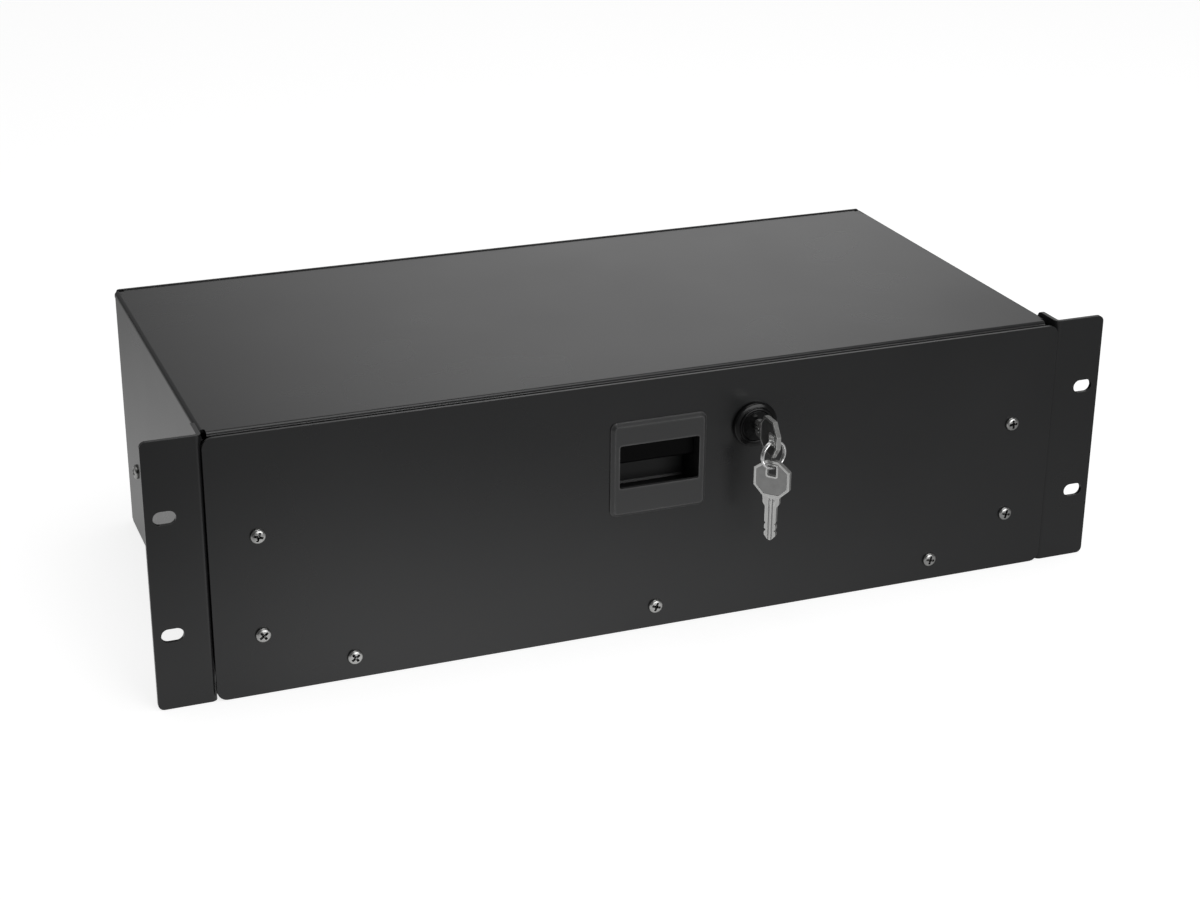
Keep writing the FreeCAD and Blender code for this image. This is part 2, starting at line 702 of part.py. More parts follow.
# ---- latch -----------------------------------------------------------------------------
def latch_housing():
    """Moulded housing: bevelled bezel, finger pocket, pin bosses, snap lugs and cover bosses."""
    half, bottom, top = housing_outline()
    corners = rectangle(-bezel_width / 2, bezel_width / 2, bezel_bottom, bezel_top)
    bezel = plate(corners, front, bezel_face, panel_front, bezel_corner)
    rim = [edge for edge in bezel.Edges if abs(edge.CenterOfMass.y - bezel_face) < 0.01]
    bezel = bezel.makeChamfer(bezel_bevel, rim)
    body = joined([bezel, box((-half, half), (panel_front, housing_back), (bottom, top))])
    room = box((-mouth_width / 2, mouth_width / 2), (bezel_face + bezel_wall, pocket_back), (pocket_bottom, pocket_top))
    body = body.cut(room)
    ledge = [(pocket_back - pocket_ledge, pocket_bottom), (pocket_back, pocket_bottom),
             (pocket_back, pocket_bottom + pocket_ledge), (pocket_back - pocket_ledge / 2, pocket_bottom + pocket_ledge)]
    body = body.fuse(plate(ledge, side, -mouth_width / 2, mouth_width / 2))
    corners = rectangle(-mouth_width / 2, mouth_width / 2, mouth_bottom, mouth_top)
    body = body.cut(plate(corners, front, bezel_face - 1, bezel_face + bezel_wall + 1, 1.0))

    fall = arm_reach * math.sin(math.radians(paddle_swing))
    slot_z = (pin_z - arm_gauge / 2 - fall - 0.3, pin_z + arm_gauge / 2 + 0.9)
    slot_x = arm_width / 2 + 0.6
    body = body.cut(box((-slot_x, slot_x), (pocket_back - 1, housing_back + 1), slot_z))
    body = body.cut(rod(pin_radius + thread_gap / 2, Vector(-half - 1, pin_y, pin_z), Vector(half + 1, pin_y, pin_z)))

    lug = plate([(half - 0.5, panel_back + 0.1), (half + 1.4, panel_back + 0.1), (half - 0.5, panel_back + 5)],
                plan, (bottom + top) / 2 - 7, (bottom + top) / 2 + 7)
    body = joined([body, lug, mirrored(lug)])
    for x, z in cover_bosses:
        boss = rod(cover_boss_radius, Vector(x, housing_back - 0.5, z), Vector(x, cover_front, z))
        pilot = rod(cover_screw_radius + thread_gap, Vector(x, housing_back - 0.6, z), Vector(x, cover_front + 1, z))
        body = body.fuse(boss).cut(pilot)
    return body.removeSplitter()


def latch_paddle():
    """The finger plate, hung from its pin, with a bead along its free edge and an arm behind."""
    half = mouth_width / 2 - paddle_gap
    wide = (Vector(-half, 0, 0), Vector(half, 0, 0))
    hub = rod(hub_radius, wide[0] + side(pin_y, pin_z), wide[1] + side(pin_y, pin_z))
    leaf = box((-half, half), (paddle_front, paddle_front + paddle_gauge), (paddle_bottom + paddle_bead, pin_z))
    bead_y = paddle_front + paddle_bead
    bead_z = paddle_bottom + paddle_bead
    bead = rod(paddle_bead, wide[0] + side(bead_y, bead_z), wide[1] + side(bead_y, bead_z))
    arm_corners = rectangle(pin_y, pin_y + arm_reach, pin_z - arm_gauge / 2, pin_z + arm_gauge / 2)
    arm = plate(arm_corners, side, -arm_width / 2, arm_width / 2)
    tip = pin_y + arm_reach
    arm = rounded(arm, arm_gauge / 2 - 0.1, lambda edge, middle: abs(middle.y - tip) < 0.01 and abs(middle.x) < 0.01)
    back = paddle_front + paddle_gauge
    web = [(back - 0.2, pin_z), (pin_y, pin_z - hub_radius + 0.2), (back - 0.2, pin_z - hub_radius - 6)]
    webs = [plate(web, side, x - 0.8, x + 0.8) for x in (-half * 0.6, half * 0.6)]
    paddle = joined([hub, leaf, bead, arm] + webs)
    bore = rod(pin_radius + pin_gap, wide[0] * 1.1 + side(pin_y, pin_z), wide[1] * 1.1 + side(pin_y, pin_z))
    return paddle.cut(bore)


def paddle_pin():
    half = housing_outline()[0]
    return rod(pin_radius, Vector(-half, pin_y, pin_z), Vector(half, pin_y, pin_z))


def latch_bolt():
    """The spring bolt: a leg behind the pocket, a bridge over the housing and a ramped tongue."""
    bridge = housing_outline()[2] + bolt_drop + 0.5
    outline = [(bolt_front, bolt_bottom), (bolt_back, bolt_bottom), (bolt_back, bridge + 0.5),
               (tongue_front + tongue_land, tongue_top), (tongue_front, tongue_top), (tongue_front, bridge),
               (bolt_front, bridge)]
    bolt = plate(outline, side, -bolt_width / 2, bolt_width / 2)
    window_x = arm_width / 2 + 0.7
    window_z = arm_gauge / 2 + bolt_play
    window = box((-window_x, window_x), (bolt_front - 1, bolt_back + 1), (pin_z - window_z, pin_z + window_z))
    nub = rod(spring_radius - spring_wire / 2 - 0.2, side(spring_y, bolt_bottom - 2.5), side(spring_y, bolt_bottom + 1))
    return joined([bolt.cut(window), nub])


def latch_spring():
    """A compression spring of square wire, between the cover's shelf and the bolt."""
    half = spring_wire / 2
    height = bolt_bottom - spring_foot - spring_wire - 0.1
    helix = Part.makeHelix(height / spring_turns, height, spring_radius)
    corners = rectangle(spring_radius - half, spring_radius + half, -half, half)
    section = Part.makePolygon([front(*corner) for corner in corners + corners[:1]])
    spring = Part.Wire(helix.Edges).makePipeShell([section], True, True)
    spring.translate(side(spring_y, spring_foot + half + 0.05))
    return spring


def latch_back_cover():
    """The pressed cover behind the bolt: it guides the leg and carries the spring."""
    shelf_top = spring_foot
    shelf_bottom = shelf_top - cover_gauge
    half = cover_boss_x + cover_margin
    corners = rectangle(-half, half, shelf_bottom, cover_top)
    cover = plate(corners, front, cover_front, cover_front + cover_gauge, 2.0)
    inner = bolt_width / 2 + bolt_gap
    outer = inner + cover_gauge
    rails = [box((sign * inner, sign * outer) if sign > 0 else (-outer, -inner), (bolt_front - 0.15, cover_front + 0.2),
                 (shelf_bottom, cover_top - 1)) for sign in (1, -1)]
    shelf = box((-outer, outer), (bolt_front - 0.15, cover_front + 0.2), (shelf_bottom, shelf_top))
    nub = rod(spring_radius - spring_wire / 2 - 0.2, side(spring_y, shelf_top - 0.5), side(spring_y, shelf_top + 2.0))
    cover = joined([cover, shelf, nub] + rails)
    for x, z in cover_bosses:
        hole = rod(cover_screw_radius + screw_clearance, Vector(x, cover_front - 1, z), Vector(x, cover_front + 3, z))
        cover = cover.cut(hole)
    return cover


def latch_cover_screws():
    seat = cover_front + cover_gauge
    profile = [(0, cover_head_height), (cover_head_radius * 0.65, cover_head_height), (cover_head_radius, 0),
               (cover_screw_radius, 0), (cover_screw_radius, -cover_boss_height), (0, -cover_boss_height - 0.8)]
    return [turned(profile, Vector(x, seat, z), Vector(0, 1, 0)) for x, z in cover_bosses]


# ---- lock ------------------------------------------------------------------------------
def on_lock(height):
    """The point on the lock's axis at a height in front of the panel's face."""
    return Vector(lock_x, panel_front - height, lock_z)


def lock_body():
    """Head with a rolled rim, threaded barrel with flats, and the bore for the plug."""
    bore = plug_radius + plug_gap
    seat = plug_face - 1.1
    pocket = plug_flange_radius + plug_gap * 2
    profile = [(bore, -lock_barrel_length), (lock_barrel_radius, -lock_barrel_length), (lock_barrel_radius, 0),
               (lock_head_radius, 0), (lock_head_radius, 1.5), (lock_head_radius - 0.9, 2.8),
               (lock_head_radius - 2.2, 3.2), (lock_head_radius - 2.5, lock_head_height),
               (pocket + 0.5, lock_head_height),
               (pocket, lock_head_height - 0.4), (pocket, seat), (bore, seat)]
    body = turned(profile, on_lock(0), Vector(0, -1, 0))
    spare = lock_barrel_radius + 1
    for sign in (1, -1):
        x = sorted((lock_x + sign * lock_flats / 2, lock_x + sign * spare))
        flat = box(x, (panel_front, panel_front + lock_barrel_length + 1), (lock_z - spare, lock_z + spare))
        body = body.cut(flat)
    return body


def lock_washer():
    start, end = Vector(lock_x, panel_back, lock_z), Vector(lock_x, panel_back + washer_gauge, lock_z)
    return rod(nut_flats / 2, start, end).cut(lock_outline(lock_barrel_radius + nut_gap, lock_flats + 2 * nut_gap,
                                                           panel_back - 1, panel_back + washer_gauge + 1))


def lock_nut():
    start = panel_back + washer_gauge
    corner = nut_flats / math.sqrt(3)
    points = [polar((lock_x, lock_z), corner, 60 * number) for number in range(6)]
    nut = plate(points, front, start, start + nut_height)
    return nut.cut(rod(lock_barrel_radius + nut_gap, Vector(lock_x, start - 1, lock_z),
                       Vector(lock_x, start + nut_height + 1, lock_z)))


def lock_plug():
    """The plug that the key turns: flange, keyway, square tail and the thread for the cam's screw."""
    tail = -lock_barrel_length - 0.3
    seat = plug_face - 1.1 + plug_gap
    profile = [(0, tail), (plug_radius, tail), (plug_radius, seat), (plug_flange_radius, seat),
               (plug_flange_radius, plug_face - 0.35), (plug_flange_radius - 0.35, plug_face), (0, plug_face)]
    plug = turned(profile, on_lock(0), Vector(0, -1, 0))
    half = cam_square / 2
    y = panel_front - tail
    square = box((lock_x - half, lock_x + half), (y - 0.5, y + cam_gauge - 0.1), (lock_z - half, lock_z + half))
    plug = joined([plug, square])
    slot_x = key_blade_gauge / 2 + keyway_gap
    slot_z = blade_half + keyway_gap
    depth = panel_front - plug_face + blade_length + 1
    slot = box((lock_x - slot_x, lock_x + slot_x), (panel_front - plug_face - 1, depth), (lock_z - slot_z, lock_z + slot_z))
    thread = rod(screw_radius + thread_gap, on_lock(tail + 2.0), on_lock(tail - 5))
    return plug.cut(slot).cut(thread)


def lock_cam():
    """A cranked cam, lying to the right of the plug while the drawer is unlocked."""
    back = panel_front + lock_barrel_length + 0.35 + cam_gauge / 2
    hub_end = -cam_width / 2
    step = plug_radius + 5.5
    line = [(hub_end, back), (step, back), (step + 2.0, back - cam_crank), (cam_reach, back - cam_crank)]
    path = [(lock_x + x, y) for x, y in line]
    bar = strip(fold(path, cam_gauge), cam_gauge, plan, lock_z - cam_width / 2, lock_z + cam_width / 2)
    corners = rectangle(lock_x + hub_end, lock_x + cam_reach, lock_z - cam_width / 2, lock_z + cam_width / 2)
    bar = bar.common(plate(corners, front, 0, back + cam_width, cam_width / 2 - 0.5))
    half = cam_square / 2 + cam_gap
    return bar.cut(box((lock_x - half, lock_x + half), (back - 2, back + 2), (lock_z - half, lock_z + half)))


def cam_screw():
    seat = panel_front + lock_barrel_length + 0.35 + cam_gauge
    return screw(Vector(lock_x, seat, lock_z), Vector(0, 1, 0), 3.6, cam_square / 2 + 1.6)


# ---- keys and ring ---------------------------------------------------------------------
def key():
    """A flat key in Y and Z, its bow's far end at y = 0, its middle at z = 0."""
    side_end = bow_slope + bow_side
    bow = [(0, bow_end_half), (bow_slope, bow_half), (side_end, bow_half), (bow_length, shank_half)]
    bow += [(u, -v) for u, v in reversed(bow)]
    shank_end = bow_length + shank_length
    tip = shank_end + blade_length
    cuts = [(shank_end + blade_length * share, blade_half - bite)
            for share, bite in ((0.45, 0), (0.5, 0.7), (0.56, 0), (0.66, 0), (0.71, 0.9), (0.77, 0))]
    blade = [(bow_length - 1, shank_half), (shank_end, shank_half), (shank_end, blade_half)] + cuts
    blade += [(tip - blade_tip, blade_half), (tip, 0.8)]
    blade += [(u, -v) for u, v in reversed(blade)]
    whole = joined([plate(bow, side, -key_bow_gauge / 2, key_bow_gauge / 2),
                    plate(blade, side, -key_blade_gauge / 2, key_blade_gauge / 2)])
    half, face = bow_hole[1] / 2, key_bow_gauge / 2
    hole = rectangle(bow_web, bow_web + bow_hole[0], -half, half)
    rim = rectangle(bow_web - bow_rim, bow_web + bow_hole[0] + bow_rim, -half - bow_rim, half + bow_rim)
    floor = Part.Face(Part.makePolygon([side(*point) for point in bow + bow[:1]])).makeOffset2D(-bow_border)
    for level in (face - bow_recess, -face):
        recess = floor.extrude(normals[side] * bow_recess)
        recess.translate(Vector(level, 0, 0))
        whole = whole.cut(recess.cut(plate(rim, side, -face - 1, face + 1, bow_hole_corner + bow_rim)))
    whole = whole.cut(plate(hole, side, -key_bow_gauge, key_bow_gauge, bow_hole_corner))
    for sign in (1, -1):
        for v in (0.75, -0.95):
            x = sorted((sign * (key_blade_gauge / 2 - 0.35), sign * key_blade_gauge))
            whole = whole.cut(box(x, (bow_length + 0.8, tip + 1), (v - 0.4, v + 0.4)))
    return whole


def key_inserted():
    piece = key()
    piece.translate(Vector(lock_x, key_end, lock_z))
    return piece


def key_ring():
    """A split ring: two close turns of flat wire."""
    groove, depth = ring_groove
    inner, outer = ring_radius - ring_wire, ring_radius + ring_wire
    half = ring_turn + groove / 2
    profile = [(inner, -half), (outer, -half), (outer, -groove / 2), (outer - depth, -groove / 2),
               (outer - depth, groove / 2), (outer, groove / 2), (outer, half), (inner, half)]
    facing = Rotation(Vector(0, 0, 1), ring_turned).multVec(Vector(0, -1, 0))
    return turned(profile, Vector(lock_x, ring_y, ring_z), facing)


def key_spare():
    """The second key, hanging from the ring with its bow up."""
    piece = key()
    piece.rotate(Vector(0, 0, 0), Vector(1, 0, 0), -90)
    piece.rotate(Vector(0, 0, 0), Vector(0, 0, 1), 90 + spare_turned)
    piece.translate(Vector(lock_x, ring_y, spare_top))
    return piece


# ---- every node ------------------------------------------------------------------------
def nodes():
    sides, bottom = front_screw_places()
    pairs = {
        "ear_bracket": [ear_bracket()],
        "ear_rivets": ear_rivets(),
        "slide_outer": [slide_outer()],
        "slide_middle": [slide_middle()],
        "slide_inner": [slide_inner()],
        "ball_cage_outer": [ball_cage(outer_ball, outer_cage_web, 1.1, outer_ball[0] + 1.4)],
        "ball_cage_inner": [ball_cage(inner_ball, inner_cage_web, 0.75, inner_ball[0] + 1.4)],
        "balls_outer": balls(outer_ball),
        "balls_inner": balls(inner_ball),
        "slide_case_screws": slide_case_screws(),
        "slide_tray_screws": slide_tray_screws(),
    }
    made = {}
    for name, shapes in pairs.items():
        made[name + "_right"] = shapes
        made[name + "_left"] = [mirrored(shape) for shape in shapes]
    made.update({
        "case_shell": [case_shell()],
        "case_rear_rivets": case_rear_rivets(),
        "tray": [tray()],
        "tray_rear_rivets": tray_rear_rivets(),
        "front_panel": [front_panel()],
        "panel_side_screws": panel_screws(sides),
        "panel_bottom_screws": panel_screws(bottom),
        "panel_clinch_nuts": panel_clinch_nuts(),
        "latch_housing": [latch_housing()],
        "latch_paddle": [latch_paddle()],
        "paddle_pin": [paddle_pin()],
        "latch_bolt": [latch_bolt()],
        "latch_spring": [latch_spring()],
        "latch_back_cover": [latch_back_cover()],
        "latch_cover_screws": latch_cover_screws(),
        "lock_body": [lock_body()],
        "lock_washer": [lock_washer()],
        "lock_nut": [lock_nut()],
        "lock_plug": [lock_plug()],
        "lock_cam": [lock_cam()],
        "cam_screw": [cam_screw()],
        "key_inserted": [key_inserted()],
        "key_ring": [key_ring()],
        "key_spare": [key_spare()],
    })
    return made


os.makedirs("parts", exist_ok=True)
for node, shapes in nodes().items():
    solids = [solid for shape in shapes for solid in shape.Solids]
    whole = solids[0] if len(solids) == 1 else Part.makeCompound(solids)
    whole.exportStep("parts/" + node + ".step")
    print(node, len(solids), round(sum(solid.Volume for solid in solids), 2), all(s.isValid() for s in solids))
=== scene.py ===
import json
import math

import bmesh
import bpy
from mathutils import Matrix, Vector


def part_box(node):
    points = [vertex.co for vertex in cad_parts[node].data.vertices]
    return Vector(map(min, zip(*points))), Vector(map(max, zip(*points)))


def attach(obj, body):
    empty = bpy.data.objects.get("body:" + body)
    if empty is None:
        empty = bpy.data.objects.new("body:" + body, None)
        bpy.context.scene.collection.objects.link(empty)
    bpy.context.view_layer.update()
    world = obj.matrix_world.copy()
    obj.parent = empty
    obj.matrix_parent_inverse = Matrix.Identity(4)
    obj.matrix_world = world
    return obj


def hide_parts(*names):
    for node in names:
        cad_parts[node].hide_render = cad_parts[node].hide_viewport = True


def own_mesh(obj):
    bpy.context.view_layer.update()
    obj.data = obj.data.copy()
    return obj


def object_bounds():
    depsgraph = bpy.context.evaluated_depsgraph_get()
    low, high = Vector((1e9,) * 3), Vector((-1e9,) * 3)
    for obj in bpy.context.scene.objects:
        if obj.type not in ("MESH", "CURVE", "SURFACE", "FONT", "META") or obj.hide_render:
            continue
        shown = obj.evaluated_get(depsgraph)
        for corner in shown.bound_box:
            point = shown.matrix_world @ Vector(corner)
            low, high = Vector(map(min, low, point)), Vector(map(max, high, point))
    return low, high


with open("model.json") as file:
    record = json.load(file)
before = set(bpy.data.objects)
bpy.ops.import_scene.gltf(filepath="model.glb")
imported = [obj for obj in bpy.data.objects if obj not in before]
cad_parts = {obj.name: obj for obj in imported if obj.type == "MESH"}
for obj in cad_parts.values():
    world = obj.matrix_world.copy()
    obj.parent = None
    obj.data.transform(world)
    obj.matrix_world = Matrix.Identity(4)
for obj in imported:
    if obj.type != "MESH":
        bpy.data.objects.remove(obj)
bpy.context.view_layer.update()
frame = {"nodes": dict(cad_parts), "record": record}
record = frame["record"]
bodyOf = {node: body for body, nodes in record["behaviour"]["bodies"].items() for node in nodes}
mm = 0.001


# small helpers

def middle(node):
    low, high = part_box(node)
    return (Vector(low) + Vector(high)) / 2


def finishPiece(piece, node, material, *others):
    # the piece stands for the node, and for others that it takes in
    piece.data.materials.clear()
    piece.data.materials.append(material)
    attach(piece, bodyOf[node])
    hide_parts(node, *others)
    return piece


def newObject(name, mesh):
    thing = bpy.data.objects.new(name, mesh)
    bpy.context.scene.collection.objects.link(thing)
    return thing


def editable(*meshes):
    shape = bmesh.new()
    for mesh in meshes:
        shape.from_mesh(mesh)
    return shape


def settle(shape, mesh):
    # the end of an edit: its shape goes into the mesh
    shape.to_mesh(mesh)
    shape.free()
    return mesh


def objectFrom(name, shape):
    return newObject(name, settle(shape, bpy.data.meshes.new(name)))


def arcPoints(first, last, steps):
    # points of a circle of radius 1, from one angle to another in degrees
    angles = [math.radians(first + (last - first) * step / steps) for step in range(steps + 1)]
    return [(math.cos(angle), math.sin(angle)) for angle in angles]


def joinRings(shape, rings, closed=False):
    # a band of faces from each ring of corners to the next
    for low, high in zip(rings, rings[1:] + rings[:1] if closed else rings[1:]):
        for step in range(len(low)):
            ahead = (step + 1) % len(low)
            shape.faces.new((low[step], low[ahead], high[ahead], high[step]))


def bakeModifiers(thing):
    # the evaluated shape becomes the object's own plain mesh
    shape = bpy.data.meshes.new_from_object(thing.evaluated_get(bpy.context.evaluated_depsgraph_get()))
    thing.modifiers.clear()
    old, thing.data = thing.data, shape
    bpy.data.meshes.remove(old)
    return thing


def smoothUnder(mesh, degrees):
    mesh.shade_smooth()
    mesh.set_sharp_from_angle(angle=math.radians(degrees))


softening = {"weld": 2e-6, "turnedWeld": 1e-7, "flat": 0.6, "edge": 32, "steps": 2}


def weldedCopy(node, name):
    # the CAD mesh is loose triangles, so its copy is welded and its flats are cleared of spare edges
    mesh = frame["nodes"][node].data.copy()
    mesh.name = name
    shape = editable(mesh)
    bmesh.ops.remove_doubles(shape, verts=shape.verts, dist=softening["weld"])
    bmesh.ops.dissolve_limit(shape, angle_limit=math.radians(softening["flat"]), verts=shape.verts,
                             edges=shape.edges)
    settle(shape, mesh)
    for title in ("custom_normal", "sharp_face"):
        if title in mesh.attributes:
            mesh.attributes.remove(mesh.attributes[title])
    mesh.materials.clear()
    return newObject(name, mesh)


def softEdged(node, name, width, prepare=None):
    piece = weldedCopy(node, name)
    if prepare:
        prepare(piece)
    return soften(piece, width)


def soften(piece, width):
    # a small round on every hard edge, as bent sheet and mouldings have
    bevel = piece.modifiers.new("edgeRound", "BEVEL")
    bevel.width = width
    bevel.segments = softening["steps"]
    bevel.limit_method = "ANGLE"
    bevel.angle_limit = math.radians(softening["edge"])
    bevel.use_clamp_overlap = True
    piece.data.shade_smooth()
    level = piece.modifiers.new("levelShading", "WEIGHTED_NORMAL")   # flats stay flat beside the rounds
    level.mode = "FACE_AREA"
    level.weight = 100
    level.keep_sharp = True
    return bakeModifiers(piece)


def barAlongY(name, sections):
    # a closed bar through outlines in X and Z, each at its own Y
    shape = bmesh.new()
    rings = [[shape.verts.new(Vector((x, y, z)) * mm) for x, z in outline] for y, outline in sections]
    shape.faces.new(rings[0])
    shape.faces.new(rings[-1])
    joinRings(shape, rings)
    bmesh.ops.recalc_face_normals(shape, faces=shape.faces)
    return objectFrom(name, shape)


def takeIn(piece, extra):
    # the piece's mesh gains the mesh of another object, which then goes
    settle(editable(piece.data, extra.data), piece.data)
    bpy.data.meshes.remove(extra.data)


# camera

viewSettings = {"place": (-0.3864, -0.9061, 0.4385), "azimuth": -21.57, "elevation": 22.72, "roll": 0.51,
                "lens": 67.97, "sensor": 36.0, "clip": (0.02, 50)}


def makeCamera(settings):
    azimuth, elevation, roll = (math.radians(settings[key]) for key in ("azimuth", "elevation", "roll"))
    back = Vector((math.sin(azimuth) * math.cos(elevation), -math.cos(azimuth) * math.cos(elevation),
                   math.sin(elevation)))
    right = (-back).cross(Vector((0, 0, 1))).normalized()
    up = right.cross(-back)
    across = right * math.cos(roll) + up * math.sin(roll)
    above = up * math.cos(roll) - right * math.sin(roll)
    camera = bpy.data.objects.new("camera", bpy.data.cameras.new("camera"))
    camera.data.lens = settings["lens"]
    camera.data.sensor_width = settings["sensor"]
    camera.data.clip_start, camera.data.clip_end = settings["clip"]
    camera.matrix_world = Matrix.Translation(settings["place"]) @ Matrix((across, above, back)).transposed().to_4x4()
    bpy.context.scene.collection.objects.link(camera)
    bpy.context.scene.camera = camera


makeCamera(viewSettings)
print("camera placed")


# node building

def addNode(tree, kind, **values):
    node = tree.nodes.new(kind)
    for key, value in values.items():
        setattr(node, key, value)
    return node


def feed(tree, node, **inputs):
    # values and links by socket name, with underscores for spaces
    for key, value in inputs.items():
        socket = node.inputs[key.replace("_", " ")]
        if isinstance(value, bpy.types.NodeSocket):
            tree.links.new(value, socket)
        else:
            socket.default_value = value
    return node


def wire(tree, node, *values):
    # values and links in the order of the sockets; None leaves one alone
    for socket, value in zip([socket for socket in node.inputs if socket.enabled], values):
        if isinstance(value, bpy.types.NodeSocket):
            tree.links.new(value, socket)
        elif value is not None:
            socket.default_value = value
    return next(socket for socket in node.outputs if socket.enabled)


def reckon(tree, operation, *values):
    return wire(tree, addNode(tree, "ShaderNodeMath", operation=operation), *values)


def blend(tree, kind, factor, first, second):
    mix = feed(tree, addNode(tree, "ShaderNodeMix", data_type=kind), Factor=factor, A=first, B=second)
    return mix.outputs["Result"]


socketKinds = {title: "NodeSocket" + title for title in ("Vector", "Geometry", "Material")}


def newTree(name, kind, inputs, outputs):
    # named sockets: a number, unless the title is that of another kind
    tree = bpy.data.node_groups.new(name, kind)
    for way, titles in (("INPUT", inputs), ("OUTPUT", outputs)):
        for title in titles:
            tree.interface.new_socket(title, in_out=way, socket_type=socketKinds.get(title, "NodeSocketFloat"))
    return tree, tree.nodes.new("NodeGroupInput"), tree.nodes.new("NodeGroupOutput")


def makeGrainGroup():
    # fine relief of a powder coat or of a moulded skin, with slow changes of gloss over it
    inputs = "Vector", "Fine Scale", "Slow Scale", "Roughness", "Roughness Spread"
    group, source, result = newTree("surfaceGrain", "ShaderNodeTree", inputs, ("Height", "Roughness", "Cloud"))
    fine = feed(group, addNode(group, "ShaderNodeTexNoise"), Vector=source.outputs["Vector"],
                Scale=source.outputs["Fine Scale"], Detail=2.0, Roughness=0.45)
    slow = feed(group, addNode(group, "ShaderNodeTexNoise"), Vector=source.outputs["Vector"],
                Scale=source.outputs["Slow Scale"], Detail=3.0, Roughness=0.55)
    centred = reckon(group, "SUBTRACT", slow.outputs["Fac"], 0.5)
    spread = reckon(group, "MULTIPLY_ADD", centred, source.outputs["Roughness Spread"], source.outputs["Roughness"])
    feed(group, result, Height=fine.outputs["Fac"], Roughness=spread, Cloud=slow.outputs["Fac"])
    return group


edgeShape = {"bend": (0.995, 0.86), "breakup": (0.35, 0.62), "recessShade": (0.35, 0.8)}


def makeWearGroup():
    # a mask that is 1 along edges, broken up by noise: rubbed wear on most finishes, and a painted highlight where a
    # finish asks for bright edges
    inputs = "Vector", "Reach", "Breakup Scale", "Amount"
    group, source, result = newTree("edgeWearAndSheen", "ShaderNodeTree", inputs, ("Mask",))
    rounded = feed(group, addNode(group, "ShaderNodeBevel", samples=4), Radius=source.outputs["Reach"])
    facing = addNode(group, "ShaderNodeNewGeometry")
    level = addNode(group, "ShaderNodeVectorMath", operation="DOT_PRODUCT")
    wire(group, level, rounded.outputs[0], facing.outputs["Normal"])
    edge = feed(group, addNode(group, "ShaderNodeMapRange"), Value=level.outputs["Value"],
                From_Min=edgeShape["bend"][0], From_Max=edgeShape["bend"][1])
    noise = feed(group, addNode(group, "ShaderNodeTexNoise"), Vector=source.outputs["Vector"],
                 Scale=source.outputs["Breakup Scale"], Detail=4.0, Roughness=0.6)
    broken = feed(group, addNode(group, "ShaderNodeMapRange"), Value=noise.outputs["Fac"],
                  From_Min=edgeShape["breakup"][0], From_Max=edgeShape["breakup"][1])
    both = reckon(group, "MULTIPLY", edge.outputs["Result"], broken.outputs["Result"])
    feed(group, result, Mask=reckon(group, "MULTIPLY", both, source.outputs["Amount"]))
    return group


surfaceGrain = makeGrainGroup()
edgeWearAndSheen = makeWearGroup()


def paint(tone):
    # a colour, or one number for a plain grey
    return (*tone, 1) if isinstance(tone, tuple) else (tone, tone, tone, 1)


# what a finish has unless it says otherwise
usualFinish = {"grain": 900.0, "slow": 14.0, "spread": 0.08, "depth": 0.00004, "wearAndSheen": 0.3, "wearAndSheenReach": 0.0005,
               "breakup": 60.0, "metal": 0.0, "specular": 0.5}


def makeFinish(name, finish):
    # one finish: colour with slow variation and edges lightened by wear and by painted highlight, painted shade in
    # recesses where asked, gloss with variation, fine relief
    finish = {**usualFinish, **finish}
    material = bpy.data.materials.new(name)
    material.use_nodes = True
    tree = material.node_tree
    shader = tree.nodes["Principled BSDF"]
    place = addNode(tree, "ShaderNodeTexCoord").outputs["Object"]
    if "stretch" in finish:
        mapping = feed(tree, addNode(tree, "ShaderNodeMapping"), Vector=place, Scale=finish["stretch"])
        place = mapping.outputs["Vector"]
    grain = addNode(tree, "ShaderNodeGroup", node_tree=surfaceGrain)
    feed(tree, grain, Vector=place, Fine_Scale=finish["grain"], Slow_Scale=finish["slow"],
         Roughness=finish["roughness"], Roughness_Spread=finish["spread"])
    wearAndSheen = addNode(tree, "ShaderNodeGroup", node_tree=edgeWearAndSheen)
    feed(tree, wearAndSheen, Vector=place, Reach=finish["wearAndSheenReach"], Breakup_Scale=finish["breakup"], Amount=finish["wearAndSheen"])
    tone = blend(tree, "RGBA", grain.outputs["Cloud"], paint(finish["dark"]), paint(finish["light"]))
    # edges take a lighter colour: wear on most finishes, a painted highlight on the bezel and the keys
    colour = blend(tree, "RGBA", wearAndSheen.outputs["Mask"], tone, paint(finish["wornAndSheen"]))
    if "recessShadeReach" in finish:
        # painted shade: recesses, such as a screw's cross, and the foot of each head are darkened by ambient
        # occlusion, where shade falls
        recessShade = feed(tree, addNode(tree, "ShaderNodeAmbientOcclusion", samples=6), Distance=finish["recessShadeReach"])
        depth = feed(tree, addNode(tree, "ShaderNodeMapRange"), Value=recessShade.outputs["AO"],
                     From_Min=edgeShape["recessShade"][0], From_Max=edgeShape["recessShade"][1])
        colour = blend(tree, "RGBA", depth.outputs["Result"], paint(finish["recessShade"]), colour)
    bump = feed(tree, addNode(tree, "ShaderNodeBump"), Strength=finish["relief"], Distance=finish["depth"],
                Height=grain.outputs["Height"])
    feed(tree, shader, Base_Color=colour, Roughness=grain.outputs["Roughness"],
         Metallic=finish["metal"], IOR=1.5, Normal=bump.outputs["Normal"], Specular_IOR_Level=finish["specular"])
    return material


